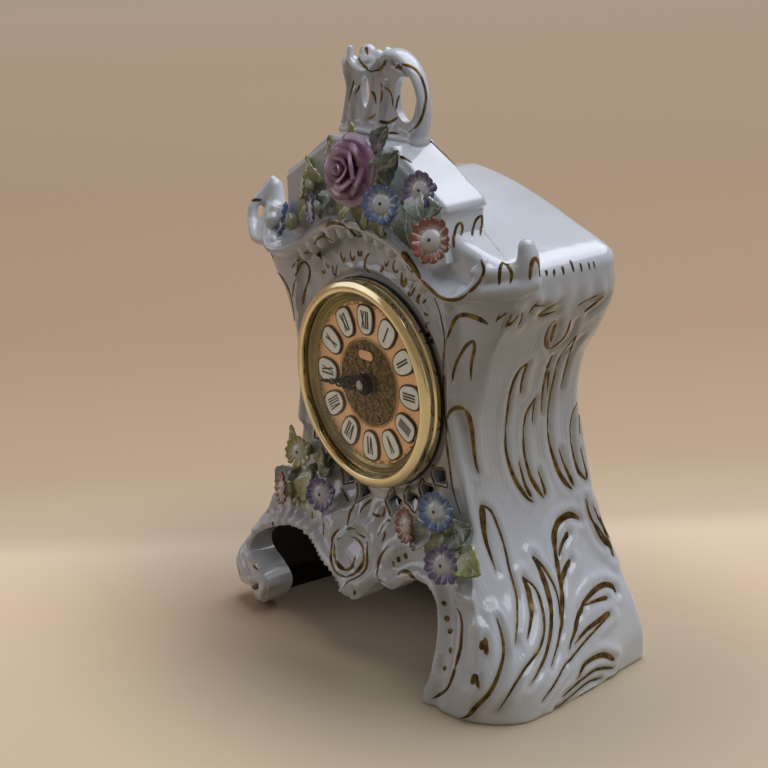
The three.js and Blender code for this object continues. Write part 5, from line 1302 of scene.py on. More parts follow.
# Strokes on the crest, the pediment and the front, as points of the photograph
PHOTO_STROKES = [
    (1.1, 1.1, [(429, 139), (440, 150), (451, 161), (466, 176), (480, 191), (481, 197), (473, 200),
                (461, 203), (450, 207), (443, 200), (437, 193)]),
    (1.2, 1.6, [(454, 248), (454, 236), (457, 225), (461, 222)]),
    (1.6, 0.8, [(461, 222), (463, 228), (461, 236)]),
    (1.0, 1.4, [(472, 236), (474, 225), (477, 218), (482, 215)]),
    (1.4, 0.8, [(482, 215), (482, 224), (480, 236)]),
    (1.4, 1.2, [(468, 293), (474, 288), (480, 281), (483.8, 273), (484, 268), (481, 259)]),
    (1.0, 1.8, [(499, 285), (500, 272), (502, 262)]),
    (1.8, 1.0, [(502, 262), (509, 267), (512, 274), (510, 284)]),
    (1.2, 2.0, [(530, 280), (531, 267), (534, 257)]),
    (2.0, 1.0, [(534, 257), (539, 262), (541, 270), (540, 277)]),
    (1.6, 0.9, [(546, 270), (547, 276)]),
    (1.8, 0.9, [(554, 269), (554, 277)]),
    (1.8, 0.9, [(562, 266), (564, 275)]),
    (1.4, 0.9, [(570, 260), (574, 272)]),
    (1.4, 0.8, [(580, 263), (582, 272)]),
    (1.2, 0.8, [(588, 262), (590, 270)]),
    (1.1, 0.8, [(593, 261), (595, 269)]),
    (1.6, 1.2, [(400, 156), (406, 159), (412, 163)]),
    (1.4, 1.2, [(395, 68), (399, 65), (406, 65), (414, 68), (420, 75), (424, 85), (426, 95), (425, 106),
                (422, 117), (417, 126), (409, 132)]),
    (0.9, 0.8, [(403, 89), (410, 92), (415, 98), (418, 106)]),
    (1.8, 0.8, [(381, 84), (382, 94), (380, 103)]),
    (0.9, 0.8, [(382, 85), (391, 93), (393, 106)]),
    (1.0, 0.7, [(401, 93), (398, 98), (396, 110)]),
    (1.2, 0.8, [(402, 92), (408, 95), (410, 101)]),
    (1.6, 0.8, [(368, 91), (374, 93), (376, 104)]),
    (1.2, 0.7, [(361, 84), (358, 89), (355, 94)]),
    (1.0, 0.7, [(354, 80), (352, 90), (349, 101)]),
    (1.2, 0.8, [(368, 119), (372, 117), (376, 114)]),
    (1.6, 1.0, [(379, 121), (388, 123), (398, 117)]),
    (1.6, 1.2, [(388, 133), (394, 133), (399, 134)]),
    (1.0, 1.4, [(358, 52), (360, 61), (366, 68), (374, 71), (381, 69), (386, 60)]),
    (1.4, 0.8, [(366, 47), (367, 51), (368, 55)]),
    (1.2, 1.6, [(262, 200), (254, 200), (247, 204), (243, 213), (244, 222), (250, 233), (258, 243),
                (266, 250)]),
    (2.4, 1.2, [(266.6, 265), (273, 268.5), (280, 275), (285.5, 283), (289.5, 292.5), (292, 303),
                (293.6, 314), (295.3, 329), (296, 341)]),
    (0.9, 1.6, [(292.4, 297), (293.6, 287), (296, 275), (299.3, 265), (304, 261.5)]),
    (1.6, 1.0, [(304, 261.5), (308.5, 265), (310, 272), (308.5, 281), (305, 291), (302.5, 305)]),
    (1.0, 1.4, [(292.4, 268), (294, 262.6), (300.5, 258.6)]),
    (1.4, 1.0, [(304, 253.5), (311, 251.7), (318, 255.7), (322, 260)]),
    (1.0, 1.2, [(314, 244.5), (318, 238.5), (324.6, 236), (332.5, 241)]),
    (1.6, 1.2, [(325.7, 227), (330, 223), (338.5, 223.5), (345, 226), (351, 231), (357, 236.5), (365, 236.5),
                (373, 240), (382, 245.5)]),
    (1.2, 1.4, [(374, 226), (381.4, 230), (386.3, 236)]),
    (1.2, 0.9, [(321.7, 270), (323.3, 274.5), (325.4, 270)]),
    (1.2, 0.9, [(326.2, 262), (327.9, 269), (329.1, 264.5)]),
    (0.9, 1.6, [(332, 265), (333, 271.5), (335.6, 276.4), (337, 265)]),
    (0.9, 1.6, [(340.7, 251.5), (341, 257.3), (343.6, 263), (345, 257)]),
    (0.9, 1.6, [(350.3, 250.7), (350.7, 257.3), (353, 261.5), (354.8, 255.7)]),
    (1.2, 1.2, [(358, 250.7), (359, 256.5)]),
    (1.4, 1.2, [(361.5, 250.7), (361, 256.5)]),
    (0.9, 2.0, [(370, 253), (365.6, 258), (364.4, 265), (366.4, 270), (370, 273)]),
    (1.8, 1.0, [(380, 271), (383, 269), (381.4, 265)]),
    (0.9, 0.9, [(384.7, 261.5), (385.5, 268), (388.8, 260)]),
    (0.9, 1.4, [(395, 260), (392.6, 266.5), (395, 273), (398, 272), (400, 263)]),
    (1.2, 2.2, [(402, 272), (401.3, 282), (403.8, 286.4), (407, 275)]),
    (1.6, 1.0, [(409, 291), (408.3, 297), (412, 293), (417.8, 282)]),
    (0.9, 0.9, [(411, 288), (414, 281)]),
    (1.6, 1.6, [(420.3, 294), (416.2, 300.5), (418.7, 303.8)]),
    (1.0, 1.0, [(426.6, 299.6), (422.8, 303)]),
    (0.9, 1.4, [(425, 312), (423.2, 315.4), (428.6, 314.6)]),
    (0.9, 1.4, [(429.5, 322), (424.5, 327), (429.5, 325.3)]),
    (0.9, 1.4, [(429.5, 332), (425.3, 336), (431, 334.5)]),
    (1.2, 1.2, [(432.8, 337), (429.5, 342), (434.4, 342.7)]),
    (3.0, 1.6, [(402, 251.5), (409.6, 261.5), (415.4, 270), (421, 280)]),
    (1.6, 1.4, [(421, 280), (430, 289), (439, 297), (450, 300), (460, 299), (468, 293)]),
    (0.9, 0.9, [(407, 265), (410.4, 273), (413.7, 274), (412, 268), (408.5, 264.5)]),
    (0.9, 2.0, [(270, 504), (263, 512), (257, 521), (251, 532), (246.5, 545), (244, 558), (244.5, 570),
                (247.5, 580), (252, 587.5)]),
    (2.4, 1.8, [(252, 587.5), (256.5, 588), (259, 583)]),
    (1.4, 0.9, [(253, 565), (256, 569), (262, 571)]),
    (1.8, 0.8, [(259, 548), (262, 551), (266, 556)]),
    (1.8, 0.8, [(259.5, 537), (264, 539), (270, 538)]),
    (1.0, 1.6, [(264, 530), (266, 535), (271, 537)]),
    (0.9, 1.6, [(273.5, 521), (272.5, 528), (272.5, 534)]),
    (0.9, 1.6, [(280, 522), (281, 528), (279, 533)]),
    (0.9, 1.4, [(294, 524), (289, 529), (286, 534)]),
    (1.8, 1.2, [(303, 530), (298.5, 533), (295, 536)]),
    (1.0, 1.2, [(312, 536), (309, 540), (306, 541)]),
    (1.2, 1.0, [(308, 545), (312, 549), (315, 552)]),
    (1.2, 1.0, [(317, 555), (320, 559), (323, 561)]),
    (0.9, 0.9, [(312.2, 511), (312.2, 519)]),
    (0.9, 1.3, [(322.6, 511), (323.4, 523), (323.4, 535)]),
    (1.2, 1.0, [(321.3, 464), (323, 469)]),
    (1.2, 1.0, [(334.6, 466), (327, 473)]),
    (1.0, 1.0, [(341, 487), (345, 494), (348.7, 502)]),
    (0.9, 0.9, [(362.8, 497), (365.7, 493)]),
    (0.8, 1.5, [(347, 526), (349.5, 514), (352, 508), (355.5, 503.5)]),
    (1.4, 0.8, [(371.7, 499.5), (366, 504), (361.3, 509), (359.6, 514)]),
    (1.4, 1.6, [(372.3, 513), (375, 516), (381.4, 516)]),
    (0.9, 1.2, [(384, 505), (384.3, 513), (382, 517)]),
    (1.2, 1.2, [(387, 520.6), (390.5, 520.6)]),
    (0.9, 0.9, [(383, 524), (381.4, 530), (377.3, 535.6)]),
    (1.2, 0.9, [(384.7, 530.6), (384.7, 536.4), (381.8, 542)]),
    (1.2, 1.4, [(339.1, 529), (333.3, 535.6), (331.2, 546), (330.8, 559), (334, 569.6), (340, 575.4),
                (346.6, 577)]),
    (2.0, 1.0, [(346.6, 577), (354, 573.7), (360.7, 567), (364, 559), (363.6, 550.5), (360.7, 543),
                (355, 537), (351.6, 536.8)]),
    (0.8, 2.2, [(340.8, 537.2), (335.8, 541.4), (334, 550.5), (335.4, 559.6), (340, 567), (345.8, 570.5)]),
    (2.2, 0.9, [(345.8, 570.5), (351.6, 567), (354.5, 562), (355.3, 555.5)]),
    (1.4, 1.0, [(367.3, 541.4), (367.3, 550.5), (367.3, 561), (365.7, 569.6), (359, 576), (350.7, 580.5),
                (345.8, 583), (343.5, 588)]),
    (1.6, 1.0, [(346.6, 529.8), (350.7, 527.3), (355.7, 529)]),
    (0.8, 1.0, [(356.5, 533), (365.7, 538)]),
    (1.6, 1.0, [(389, 546.3), (383, 552), (379, 560.4), (377.3, 569.6), (378, 578), (380.6, 584.5),
                (384.7, 591)]),
    (1.0, 1.4, [(393, 561), (394, 567)]),
    (1.6, 1.8, [(398.4, 556.5), (398.8, 562)]),
    (1.6, 1.8, [(405, 553), (406.3, 559)]),
    (2.2, 1.6, [(398, 575), (398.8, 571.2), (403, 570), (408.8, 573), (416, 578.7), (423, 587), (428, 596),
                (431.2, 606)]),
    (1.6, 1.6, [(354, 595), (355, 590)]),
]


def gild_top(case, pediment, crest, material):
    """The strokes of the front, the pediment and the crest."""
    gold = Ribbons(surface_of(case, pediment, crest))
    ray = from_photo(gold.tree)

    def cast(place):
        """The ray's hit, unless it went past the apron to the inside of a foot."""
        hit = ray(place)
        if hit is None or (hit[0][2] < 60 and (hit[0][1] > -34 or hit[1][1] > -0.25)):
            return None
        return hit

    for start, end, points in PHOTO_STROKES:
        gold.stroke(points, cast, start, end, 2.2)
    return gold.make("pediment_gilding", material)


def copies_round_tree():
    """Geometry Nodes that set copies round a ring, each a little tilted and smaller at random."""
    tree = bpy.data.node_groups.new("copies_round", "GeometryNodeTree")
    face = tree.interface
    face.new_socket("Geometry", in_out="INPUT", socket_type="NodeSocketGeometry")
    for name, kind in (("Copy", "NodeSocketObject"), ("Count", "NodeSocketInt"),
                       ("Radius", "NodeSocketFloat"), ("Tilt Spread", "NodeSocketFloat"),
                       ("Size Spread", "NodeSocketFloat"), ("Seed", "NodeSocketInt"),
                       ("Finish", "NodeSocketMaterial")):
        face.new_socket(name, in_out="INPUT", socket_type=kind)
    face.new_socket("Geometry", in_out="OUTPUT", socket_type="NodeSocketGeometry")
    given = add_node(tree, "NodeGroupInput").outputs
    ring = add_node(tree, "GeometryNodeMeshCircle", {"Vertices": given["Count"], "Radius": given["Radius"]})
    copy = add_node(tree, "GeometryNodeObjectInfo", {"Object": given["Copy"]})
    index = add_node(tree, "GeometryNodeInputIndex").outputs[0]
    share = add_node(tree, "ShaderNodeMath", {0: index, 1: given["Count"]}, operation="DIVIDE")
    turn = add_node(tree, "ShaderNodeMath", {0: share.outputs[0], 1: 2 * math.pi}, operation="MULTIPLY")
    low_tilt = add_node(tree, "ShaderNodeMath", {0: given["Tilt Spread"], 1: -1.0}, operation="MULTIPLY")
    tilt = add_node(tree, "FunctionNodeRandomValue", {2: low_tilt.outputs[0], 3: given["Tilt Spread"],
                                                      "Seed": given["Seed"]}, data_type="FLOAT")
    angles = add_node(tree, "ShaderNodeCombineXYZ", {"Y": tilt.outputs[1], "Z": turn.outputs[0]})
    smallest = add_node(tree, "ShaderNodeMath", {0: 1.0, 1: given["Size Spread"]}, operation="SUBTRACT")
    size = add_node(tree, "FunctionNodeRandomValue", {2: smallest.outputs[0], 3: 1.0, "Seed": given["Seed"]},
                    data_type="FLOAT")
    spread = add_node(tree, "GeometryNodeInstanceOnPoints",
                      {"Points": ring.outputs["Mesh"], "Instance": copy.outputs["Geometry"],
                       "Rotation": angles.outputs[0], "Scale": size.outputs[1]})
    real = add_node(tree, "GeometryNodeRealizeInstances", {"Geometry": spread.outputs[0]})
    painted = add_node(tree, "GeometryNodeSetMaterial",
                       {"Geometry": real.outputs[0], "Material": given["Finish"]})
    add_node(tree, "NodeGroupOutput", {"Geometry": painted.outputs[0]})
    return tree


def copies_round(name, source, count, radius, material, tilt=0.0, size=0.0, seed=1):
    """Copies of source round the Z axis at radius (mm), as one mesh; the source is used up."""
    carrier = mesh_object(name, [(0, 0, 0)], [])
    spread = carrier.modifiers.new("copies", "NODES")
    spread.node_group = copies_tree
    values = {"Copy": source, "Count": count, "Radius": radius * MM, "Tilt Spread": tilt, "Size Spread": size,
              "Seed": seed, "Finish": material}
    for item in copies_tree.interface.items_tree:
        if item.item_type == "SOCKET" and item.name in values:
            spread[item.identifier] = values[item.name]
    settle(carrier, merge=False)
    bpy.data.objects.remove(source, do_unlink=True)
    return carrier


copies_tree = copies_round_tree()


def facing_matrix(at, facing, roll=0.0):
    """Puts a piece made round +Z so that its middle is at (mm) and its +Z looks along facing."""
    out = Vector(facing).normalized()
    turn = out.to_track_quat("Z", "Y").to_matrix().to_4x4()
    return Matrix.Translation(Vector(at) * MM) @ turn @ Matrix.Rotation(roll, 4, "Z")


def weld(name, *objects):
    """Several meshes as one object, keeping their materials."""
    with bpy.context.temp_override(active_object=objects[0], object=objects[0],
                                   selected_objects=list(objects), selected_editable_objects=list(objects)):
        if len(objects) > 1:
            bpy.ops.object.join()
    objects[0].name = name
    objects[0].data.name = name
    return objects[0]


def sheet(name, rows, thick, material, **layers):
    """A closed sheet over a grid of points (rows, columns, 3), thick mm deep along -normal."""
    top = np.array(rows, float)
    across = np.gradient(top, axis=1)
    along = np.gradient(top, axis=0)
    normal = np.cross(across, along)
    normal /= np.linalg.norm(normal, axis=2, keepdims=True) + 1e-9
    bottom = top - normal * thick
    verts = np.concatenate([top.reshape(-1, 3), bottom.reshape(-1, 3)])
    obj = mesh_object(name, verts, sheet_faces(*top.shape[:2]), material, 60)
    for layer, values in layers.items():
        set_attribute(obj.data, layer, np.concatenate([np.ravel(values)] * 2))
    return obj


PETALS = 13
DAISY_TURN = 0.37  # in radians, from one daisy to the next, so that no two look alike


def daisy_petal(radius, material):
    """One scalloped petal along +X: pinched at its root, ridged, with a round lip that curls up."""
    s = np.linspace(0, 1, 12)[:, None]
    w = np.linspace(-1, 1, 7)[None, :]
    reach = radius * (0.16 + 0.84 * s)
    lip = np.sqrt(np.clip(1 - (np.clip(s - 0.74, 0, 1) / 0.26) ** 2 * 0.95, 0, 1))
    half = math.pi * (reach / PETALS) * 1.12 * lip
    rise = radius * (0.10 + 0.20 * s ** 2 + 0.10 * (1 - w ** 2) * (0.3 + 0.7 * s) - 0.05 * (s > 0.93))
    grid = np.stack([reach + 0 * w, half * w, rise], 2)
    return sheet("petal", grid[:, ::-1], radius * 0.11, material, reach=s + 0 * w)


def make_daisy(name, at, facing, radius, petal_material, seed):
    """A ring of petals, a domed middle with its dark dot, and the dab of slip that holds the flower."""
    parts = [copies_round("petals", daisy_petal(radius, petal_material), PETALS, 0.01, petal_material,
                          tilt=0.10, size=0.10, seed=seed)]
    # height of the middle and half sizes as shares of the radius, points round it, tone, and glaze
    for part, height, size, count, reach, material in (
            ("dome", 0.12, (0.5, 0.5, 0.24), 24, 0.12, petal_material),
            ("eye", 0.355, (0.085, 0.085, 0.03), 12, 0.0, flower_eye),
            ("stub", -0.22, (0.5, 0.5, 0.42), 20, 0.5, leaf_glazes["mid"])):
        lump = settle(mesh_object(part, *ball((0, 0, radius * height), np.array(size) * radius, count)))
        set_attribute(lump.data, "reach", reach)
        lump.data.materials.append(material)
        parts.append(lump)
    daisy = weld(name, *parts)
    daisy.data.transform(facing_matrix(at, facing, seed * DAISY_TURN))
    return shade(daisy, 60)


# Daisies: node, centre, facing, radius, glaze
DAISIES = [
    ("top_blue_daisy", (28, -43, 228.5), (0.55, -1, 0.3), 9.4, "blue"),
    ("top_violet_daisy", (46, -35, 236), (0.4, -1, 0.2), 9.0, "violet"),
    ("top_orange_daisy", (63, -44, 217.5), (0.5, -1, 0.45), 10.4, "rust"),
    ("left_violet_daisy", (-26, -41.5, 218.5), (-0.45, -1, 0.1), 8.0, "violet"),
    ("left_yellow_daisy", (-35, -39, 227), (-0.6, -1, 0.25), 7.5, "yellow"),
    ("left_blue_daisy", (-52, -39, 207.5), (-0.75, -1, 0.3), 9.0, "blue"),
    ("lower_yellow_daisy", (-54, -37, 90), (0.25, -1, 0.25), 8.4, "yellow"),
    ("lower_rust_daisy", (-63.5, -41, 69.5), (-0.35, -1, 0.2), 8.6, "rust"),
    ("lower_violet_daisy", (-31, -41, 75.5), (0.3, -1, 0.1), 9.2, "violet"),
    ("base_rust_daisy", (37, -43, 78.5), (-0.2, -1, 0.15), 8.8, "rust"),
    ("base_blue_daisy", (54, -39, 89), (0.3, -1, 0.2), 9.6, "blue"),
    ("base_violet_daisy", (65, -45, 68), (0.3, -1, 0.1), 10.0, "violet"),
]
ROSE_AT, ROSE_FACING = (7, -41, 240.5), (0.05, -1, 0.2)
# Rose petals in rings: (count, root radius, lip radius, height at the lip, half width in degrees,
# how far the lip curls out, angle of the first)
ROSE_OUTER = [(5, 3.0, 15.2, 4.0, 43, 1.6, 10), (5, 2.6, 12.2, 8.0, 42, 1.4, 46)]
ROSE_INNER = [(4, 2.0, 8.8, 10.6, 52, 1.0, 20), (3, 1.5, 5.6, 12.0, 70, 0.6, 75),
              (2, 0.8, 2.8, 12.6, 100, 0.2, 0)]


def rose_petals(name, rings, material):
    """Rings of cupped petals with lips that curl outward, seen full face."""
    parts = []
    for count, root, lip, height, half, curl, first in rings:
        for i in range(count):
            s = np.linspace(0, 1, 15)[:, None]
            w = np.linspace(-1, 1, 17)[None, :]
            middle = math.radians(first + 360 / count * i)
            round_lip = 1 - 0.16 * w ** 2 - 0.10 * np.abs(w) ** 5
            turn = middle + math.radians(half) * w * (0.35 + 0.65 * np.sin(s * math.pi / 2) ** 0.8)
            out = root + (lip - root) * (s ** 0.9) * (1 - 0.10 * w ** 2)
            out = out + curl * np.clip((s - 0.72) / 0.28, 0, 1) ** 2
            wave = 0.35 * np.sin(w * 4.2 + i * 1.7 + first) * s ** 2
            rise = height * (1 - (1 - s) ** 1.7) * round_lip + wave
            rise = rise - 0.45 * curl * np.clip((s - 0.84) / 0.16, 0, 1) ** 2
            grid = np.stack([out * np.cos(turn), out * np.sin(turn), rise], 2)
            lip_tone = 0.5 - 0.42 * s + 0.45 * np.clip((s - 0.9) / 0.1, 0, 1) + 0.25 * (first > 40)
            parts.append(sheet("petal", grid, 0.8, material, reach=np.clip(lip_tone + 0 * w, 0, 1)))
    rose = weld(name, *parts)
    rose.data.transform(facing_matrix(ROSE_AT, ROSE_FACING))
    return rose


# Leaves: where each springs, its tip, its width, the way its face looks, and its glaze
LEAVES = {
    "top_leaves": [
        ((16.5, -35.5, 235.5), (36.5, -39.5, 252.5), 12, (0.5, -1, 0.1), "dark"),
        ((13.5, -34.5, 248.5), (23.5, -34.5, 261.5), 9, (0.3, -1, 0.3), "dark"),
        ((2.5, -34.5, 250.5), (-0.5, -37.5, 261.5), 5, (0, -1, 0.4), "lime"),
        ((3.5, -36.5, 230.5), (-6.5, -41.5, 215.5), 10, (-0.1, -1, 0.1), "lime"),
        ((9.5, -36.5, 230.5), (11.5, -41.5, 213.5), 10, (0.2, -1, 0), "mid"),
        ((18.5, -37.5, 223.5), (22.5, -39.5, 211.5), 8, (0.1, -1, 0), "mid"),
        ((34.5, -36.5, 229.5), (44.5, -40.5, 210.5), 10, (0.4, -1, 0.1), "dark"),
        ((40.5, -35.5, 235.5), (53.5, -40.5, 223.5), 9, (0.5, -1, 0.2), "pale"),
        ((50.5, -34.5, 229.5), (64, -39, 231), 8, (0.6, -1, 0.2), "pale"),
        ((-31.5, -35.5, 223.5), (-38.5, -40.5, 210.5), 7, (-0.4, -1, 0), "lime"),
        ((-17.5, -36.5, 227.5), (-22.5, -40.5, 214.5), 9, (-0.3, -1, 0), "dark"),
        ((-27.5, -34.5, 229.5), (-40.5, -33.5, 239.5), 7, (-0.5, -1, 0.2), "lime"),
        ((-9.5, -35.5, 241.5), (-20.5, -34.5, 251.5), 9, (-0.4, -1, 0.3), "mid"),
    ],
    "lower_leaves": [
        ((-65, -34, 77), (-79, -35, 67), 9, (-0.4, -1, 0), "dark"),
        ((-47, -36, 83), (-49, -40, 65), 9, (0, -1, 0), "lime"),
        ((-55, -33, 89), (-66, -33, 100), 8, (-0.3, -1, 0.2), "lime"),
        ((-41, -34, 81), (-31, -32, 95), 8, (0.3, -1, 0.2), "dark"),
        ((-53, -35, 77), (-59, -39, 61), 8, (-0.2, -1, 0), "mid"),
        ((-39, -35, 85), (-35, -37, 97), 6, (0.2, -1, 0.1), "mid"),
    ],
    "base_leaves": [
        ((50, -38.5, 81.5), (39, -42.5, 67.5), 11, (-0.1, -1, 0.1), "pale"),
        ((64, -35.5, 81.5), (77, -38.5, 87.5), 10, (0.5, -1, 0.2), "dark"),
        ((62, -35.5, 77.5), (70, -38.5, 75.5), 9, (0.5, -1, 0.3), "pale"),
        ((66, -35.5, 71.5), (84, -40.5, 66.5), 14, (0.4, -1, 0.5), "lime"),
        ((48, -35.5, 85.5), (40, -37.5, 91.5), 8, (-0.2, -1, 0.1), "dark"),
        ((54, -36.5, 77.5), (51, -42.5, 64.5), 9, (0, -1, 0), "mid"),
        ((72, -36.5, 67.5), (67, -41.5, 64), 8, (0.2, -1, 0.1), "lime"),
    ],
}
LEAF_TEETH = 5.5
PAD_LEAN = 0.04  # how far a pad leans toward its leaf's tip, as a share of the leaf's reach


def make_leaf(base, tip, width, facing, glaze):
    """A serrated leaf: folded along its midrib, arched, with its teeth and side veins pressed in."""
    base, tip, out = Vector(base), Vector(tip), Vector(facing).normalized()
    length = (tip - base).length
    along = (tip - base).normalized()
    across = out.cross(along).normalized()
    up = along.cross(across)
    s = np.linspace(0, 1, 27)[:, None]
    w = np.linspace(-1, 1, 11)[None, :]
    teeth = 1 + 0.13 * np.abs(np.sin(math.pi * LEAF_TEETH * s)) * (w ** 4)
    half = width / 2 * np.sin(math.pi * np.clip(s, 0.02, 0.985) ** 0.85) ** 0.75 * teeth
    veins = 0.28 * np.sin(math.pi * 2 * (LEAF_TEETH * s - 1.1 * np.abs(w))) * np.clip(1 - s, 0, 0.7)
    rise = 0.13 * length * np.sin(math.pi * s) + 0.16 * width * np.abs(w) ** 1.3 + veins
    rise = rise + 0.06 * width * np.sin(9 * s + 3 * w)
    grid = (np.array(base) + (s * length)[..., None] * np.array(along)
            + (half * w)[..., None] * np.array(across) + rise[..., None] * np.array(up))
    vein = np.clip(1 - np.abs(w) * 5, 0, 1) + 0 * s
    reach = np.clip(s + 0.15 * w, 0, 1) * (1 - 0.6 * vein)
    return sheet("leaf", grid[:, ::-1], 0.9, leaf_glazes[glaze], reach=reach)


def make_spray(node):
    """A node's leaves, and the pads of slip that tie them to the porcelain behind."""
    leaves = [make_leaf(*leaf) for leaf in LEAVES[node]]
    pad_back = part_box(node)[1][1] / MM - 3.0
    pads = []
    for (x, y, z), tip, _, _, _ in LEAVES[node]:
        path = [(x, y + 1, z, 2.2, 2.2), ((1 - PAD_LEAN) * x + PAD_LEAN * tip[0], pad_back, z, 2.6, 2.2)]
        pads.append(tube(path, 1.2, 10))
    pad = settle(mesh_object("pad", *joined(pads)), merge=False)
    set_attribute(pad.data, "reach", 0.7)
    pad.data.materials.append(leaf_glazes["mid"])
    return weld(node + "_modelled", *leaves, pad)


# The clock insert, turned round the dial's axis
def lathe(name, outline, count, material, smooth_angle=35.0):
    """A closed (radius, y) outline turned round the dial's axis; radius 0 points make poles."""
    turn = np.arange(count) / count * 2 * math.pi
    verts, rings = [], []
    for radius, y in outline:
        if radius < 1e-6:
            rings.append([len(verts)])
            verts.append((0, y, DIAL_Z))
        else:
            rings.append(list(range(len(verts), len(verts) + count)))
            verts += [(radius * math.cos(t), y, DIAL_Z + radius * math.sin(t)) for t in turn]
    faces = []
    for a, b in zip(rings, rings[1:] + rings[:1]):
        if len(a) == 1 and len(b) == 1:
            continue
        for i in range(count):
            j = (i + 1) % count
            quad = [a[i % len(a)], a[j % len(a)], b[j % len(b)], b[i % len(b)]]
            faces.append(list(dict.fromkeys(quad)))
    return shade(settle(mesh_object(name, verts, faces, material)), smooth_angle)


def arc(cx, cy, radius, first, last, count=8):
    """Points of a circle about (cx, cy) from one angle to another, in degrees."""
    turn = np.radians(np.linspace(first, last, count))
    return [(cx + radius * math.cos(t), cy + radius * math.sin(t)) for t in turn]


BEZEL_INNER = 44.4


def make_bezel():
    """Polished brass ring: a sloping front rim, an undercut side and a polished throat."""
    rim = [(BEZEL_INNER, -37.0), (BEZEL_INNER + 0.2, -39.2)] + arc(BEZEL_INNER + 1.1, -39.3, 0.9, 190, 262, 5)
    rim += [(46.6, -40.25), (48.4, -39.5)] + arc(48.3, -37.8, 1.6, 282, 360, 7)
    side = [(49.9, -36.4), (49.2, -35.9), (49.2, -34.6), (49.8, -34.0), (49.95, -33.2), (49.95, -31.6),
            (49.6, -31.3)]
    back = [(46.2, -31.3), (46.2, -33.0), (BEZEL_INNER + 0.4, -34.2)]
    return lathe("bezel_turned", rim + side + back, 256, brass)


def make_crystal():
    """A shallow dome of even thickness, with a flange that the bezel holds."""
    rings = (6, 12, 18, 24, 30, 36, 41, 44, 45.2)
    front = [(0, -42.45)] + [(r, -37.9 - 4.55 * (1 - (r / 45.2) ** 2)) for r in rings]
    back = [(45.6, -37.2), (45.6, -36.6), (44.6, -36.5)]
    back += [(r, -36.55 - 4.5 * (1 - (r / 44.6) ** 2)) for r in (43, 40, 36, 30, 24, 18, 12, 6)]
    back += [(0, -41.05)]
    return lathe("crystal_domed", front + back, 192, glass, 50)


def make_rehaut():
    """The dark polished step ring between the crystal and the dial."""
    front = [(44.1, -36.1), (43.4, -36.15), (42.6, -35.7), (42.3, -35.2), (41.6, -35.1), (41.2, -34.6),
             (40.4, -34.5), (39.8, -34.0), (39.1, -33.7)]
    return lathe("rehaut_stepped", front + [(39.1, -33.62), (44.1, -33.62)], 224, dark_brass)


# Numerals, as thin upright prisms. Each letter has its width and its (x, z) lines in a box two units high.
NUMERAL_STROKES = {
    "I": (0.62, [[(0, -1), (0, 1)]]),
    "V": (1.3, [[(-0.42, 1), (0.0, -1)], [(0.42, 1), (0.05, -1)]]),
    "X": (1.3, [[(-0.42, 1), (0.42, -1)], [(0.42, 1), (-0.42, -1)]]),
}
NUMERALS = ("XII", "I", "II", "III", "IIII", "V", "VI", "VII", "VIII", "IX", "X", "XI")
NUMERAL_R = 30.8
NUMERAL_HALF = 4.3
CARTOUCHE_HALF = (6.0, 6.7)
RING_FRONT_Y = -34.3
DIAL_FRONT_Y = -33.5


def band(line, width, y_front, y_back):
    """A flat strip along an (x, z) line, as a closed slab."""
    line = np.array(line, float)
    along = np.gradient(line, axis=0)
    side = np.stack([-along[:, 1], along[:, 0]], 1)
    side /= np.linalg.norm(side, axis=1, keepdims=True) + 1e-9
    half = np.reshape(width, (-1, 1)) / 2
    outline = np.concatenate([line + side * half, (line - side * half)[::-1]])
    n = len(line)
    total = 2 * n
    verts = [(x, y_front, z) for x, z in outline] + [(x, y_back, z) for x, z in outline]
    faces = []
    for i in range(n - 1):
        j = total - 1 - i
        faces.append([i, i + 1, j - 1, j])
        faces.append([total + j, total + j - 1, total + i + 1, total + i])
    faces += [[i + total, (i + 1) % total + total, (i + 1) % total, i] for i in range(total)]
    return verts, faces


def placed(parts, turn, radius):
    """Parts drawn round (0, 0) moved out to the dial's ring at an angle clockwise from XII."""
    c, s = math.cos(turn), math.sin(turn)
    out = []
    for points, faces in parts:
        moved = [(x * c + (z + radius) * s, y, DIAL_Z - x * s + (z + radius) * c) for x, y, z in points]
        out.append((moved, faces))
    return out


def numeral(text):
    """Bars for a Roman numeral, thick and thin as with a broad pen."""
    widths = [NUMERAL_STROKES[letter][0] for letter in text]
    x = -sum(widths) / 2
    bars = []
    for letter, width in zip(text, widths):
        for number, ((x0, z0), (x1, z1)) in enumerate(NUMERAL_STROKES[letter][1]):
            middle = x + width / 2
            scale = 2.3 if len(text) < 4 else 1.9
            line = [((middle + x0) * scale, z0 * NUMERAL_HALF), ((middle + x1) * scale, z1 * NUMERAL_HALF)]
            thick = (0.85 if len(text) < 4 else 0.65) if number == 0 else 0.5
            bars.append(band(smooth_line(line, 2.0), thick, RING_FRONT_Y - 0.16, RING_FRONT_Y + 0.05))
        x += width
    return bars


def cartouche_outline(grow=0.0):
    """A plaque with a bowed top, waisted shoulders and a narrower foot."""
    half_w, half_h = CARTOUCHE_HALF
    points = []
    for t in np.linspace(0, 2 * math.pi, 40, endpoint=False):
        x, z = math.sin(t), math.cos(t)
        wide = half_w * (0.86 + 0.14 * z) + grow
        points.append((wide * abs(x) ** 0.72 * np.sign(x), (half_h + grow) * abs(z) ** 0.8 * np.sign(z)))
    return points[::-1]


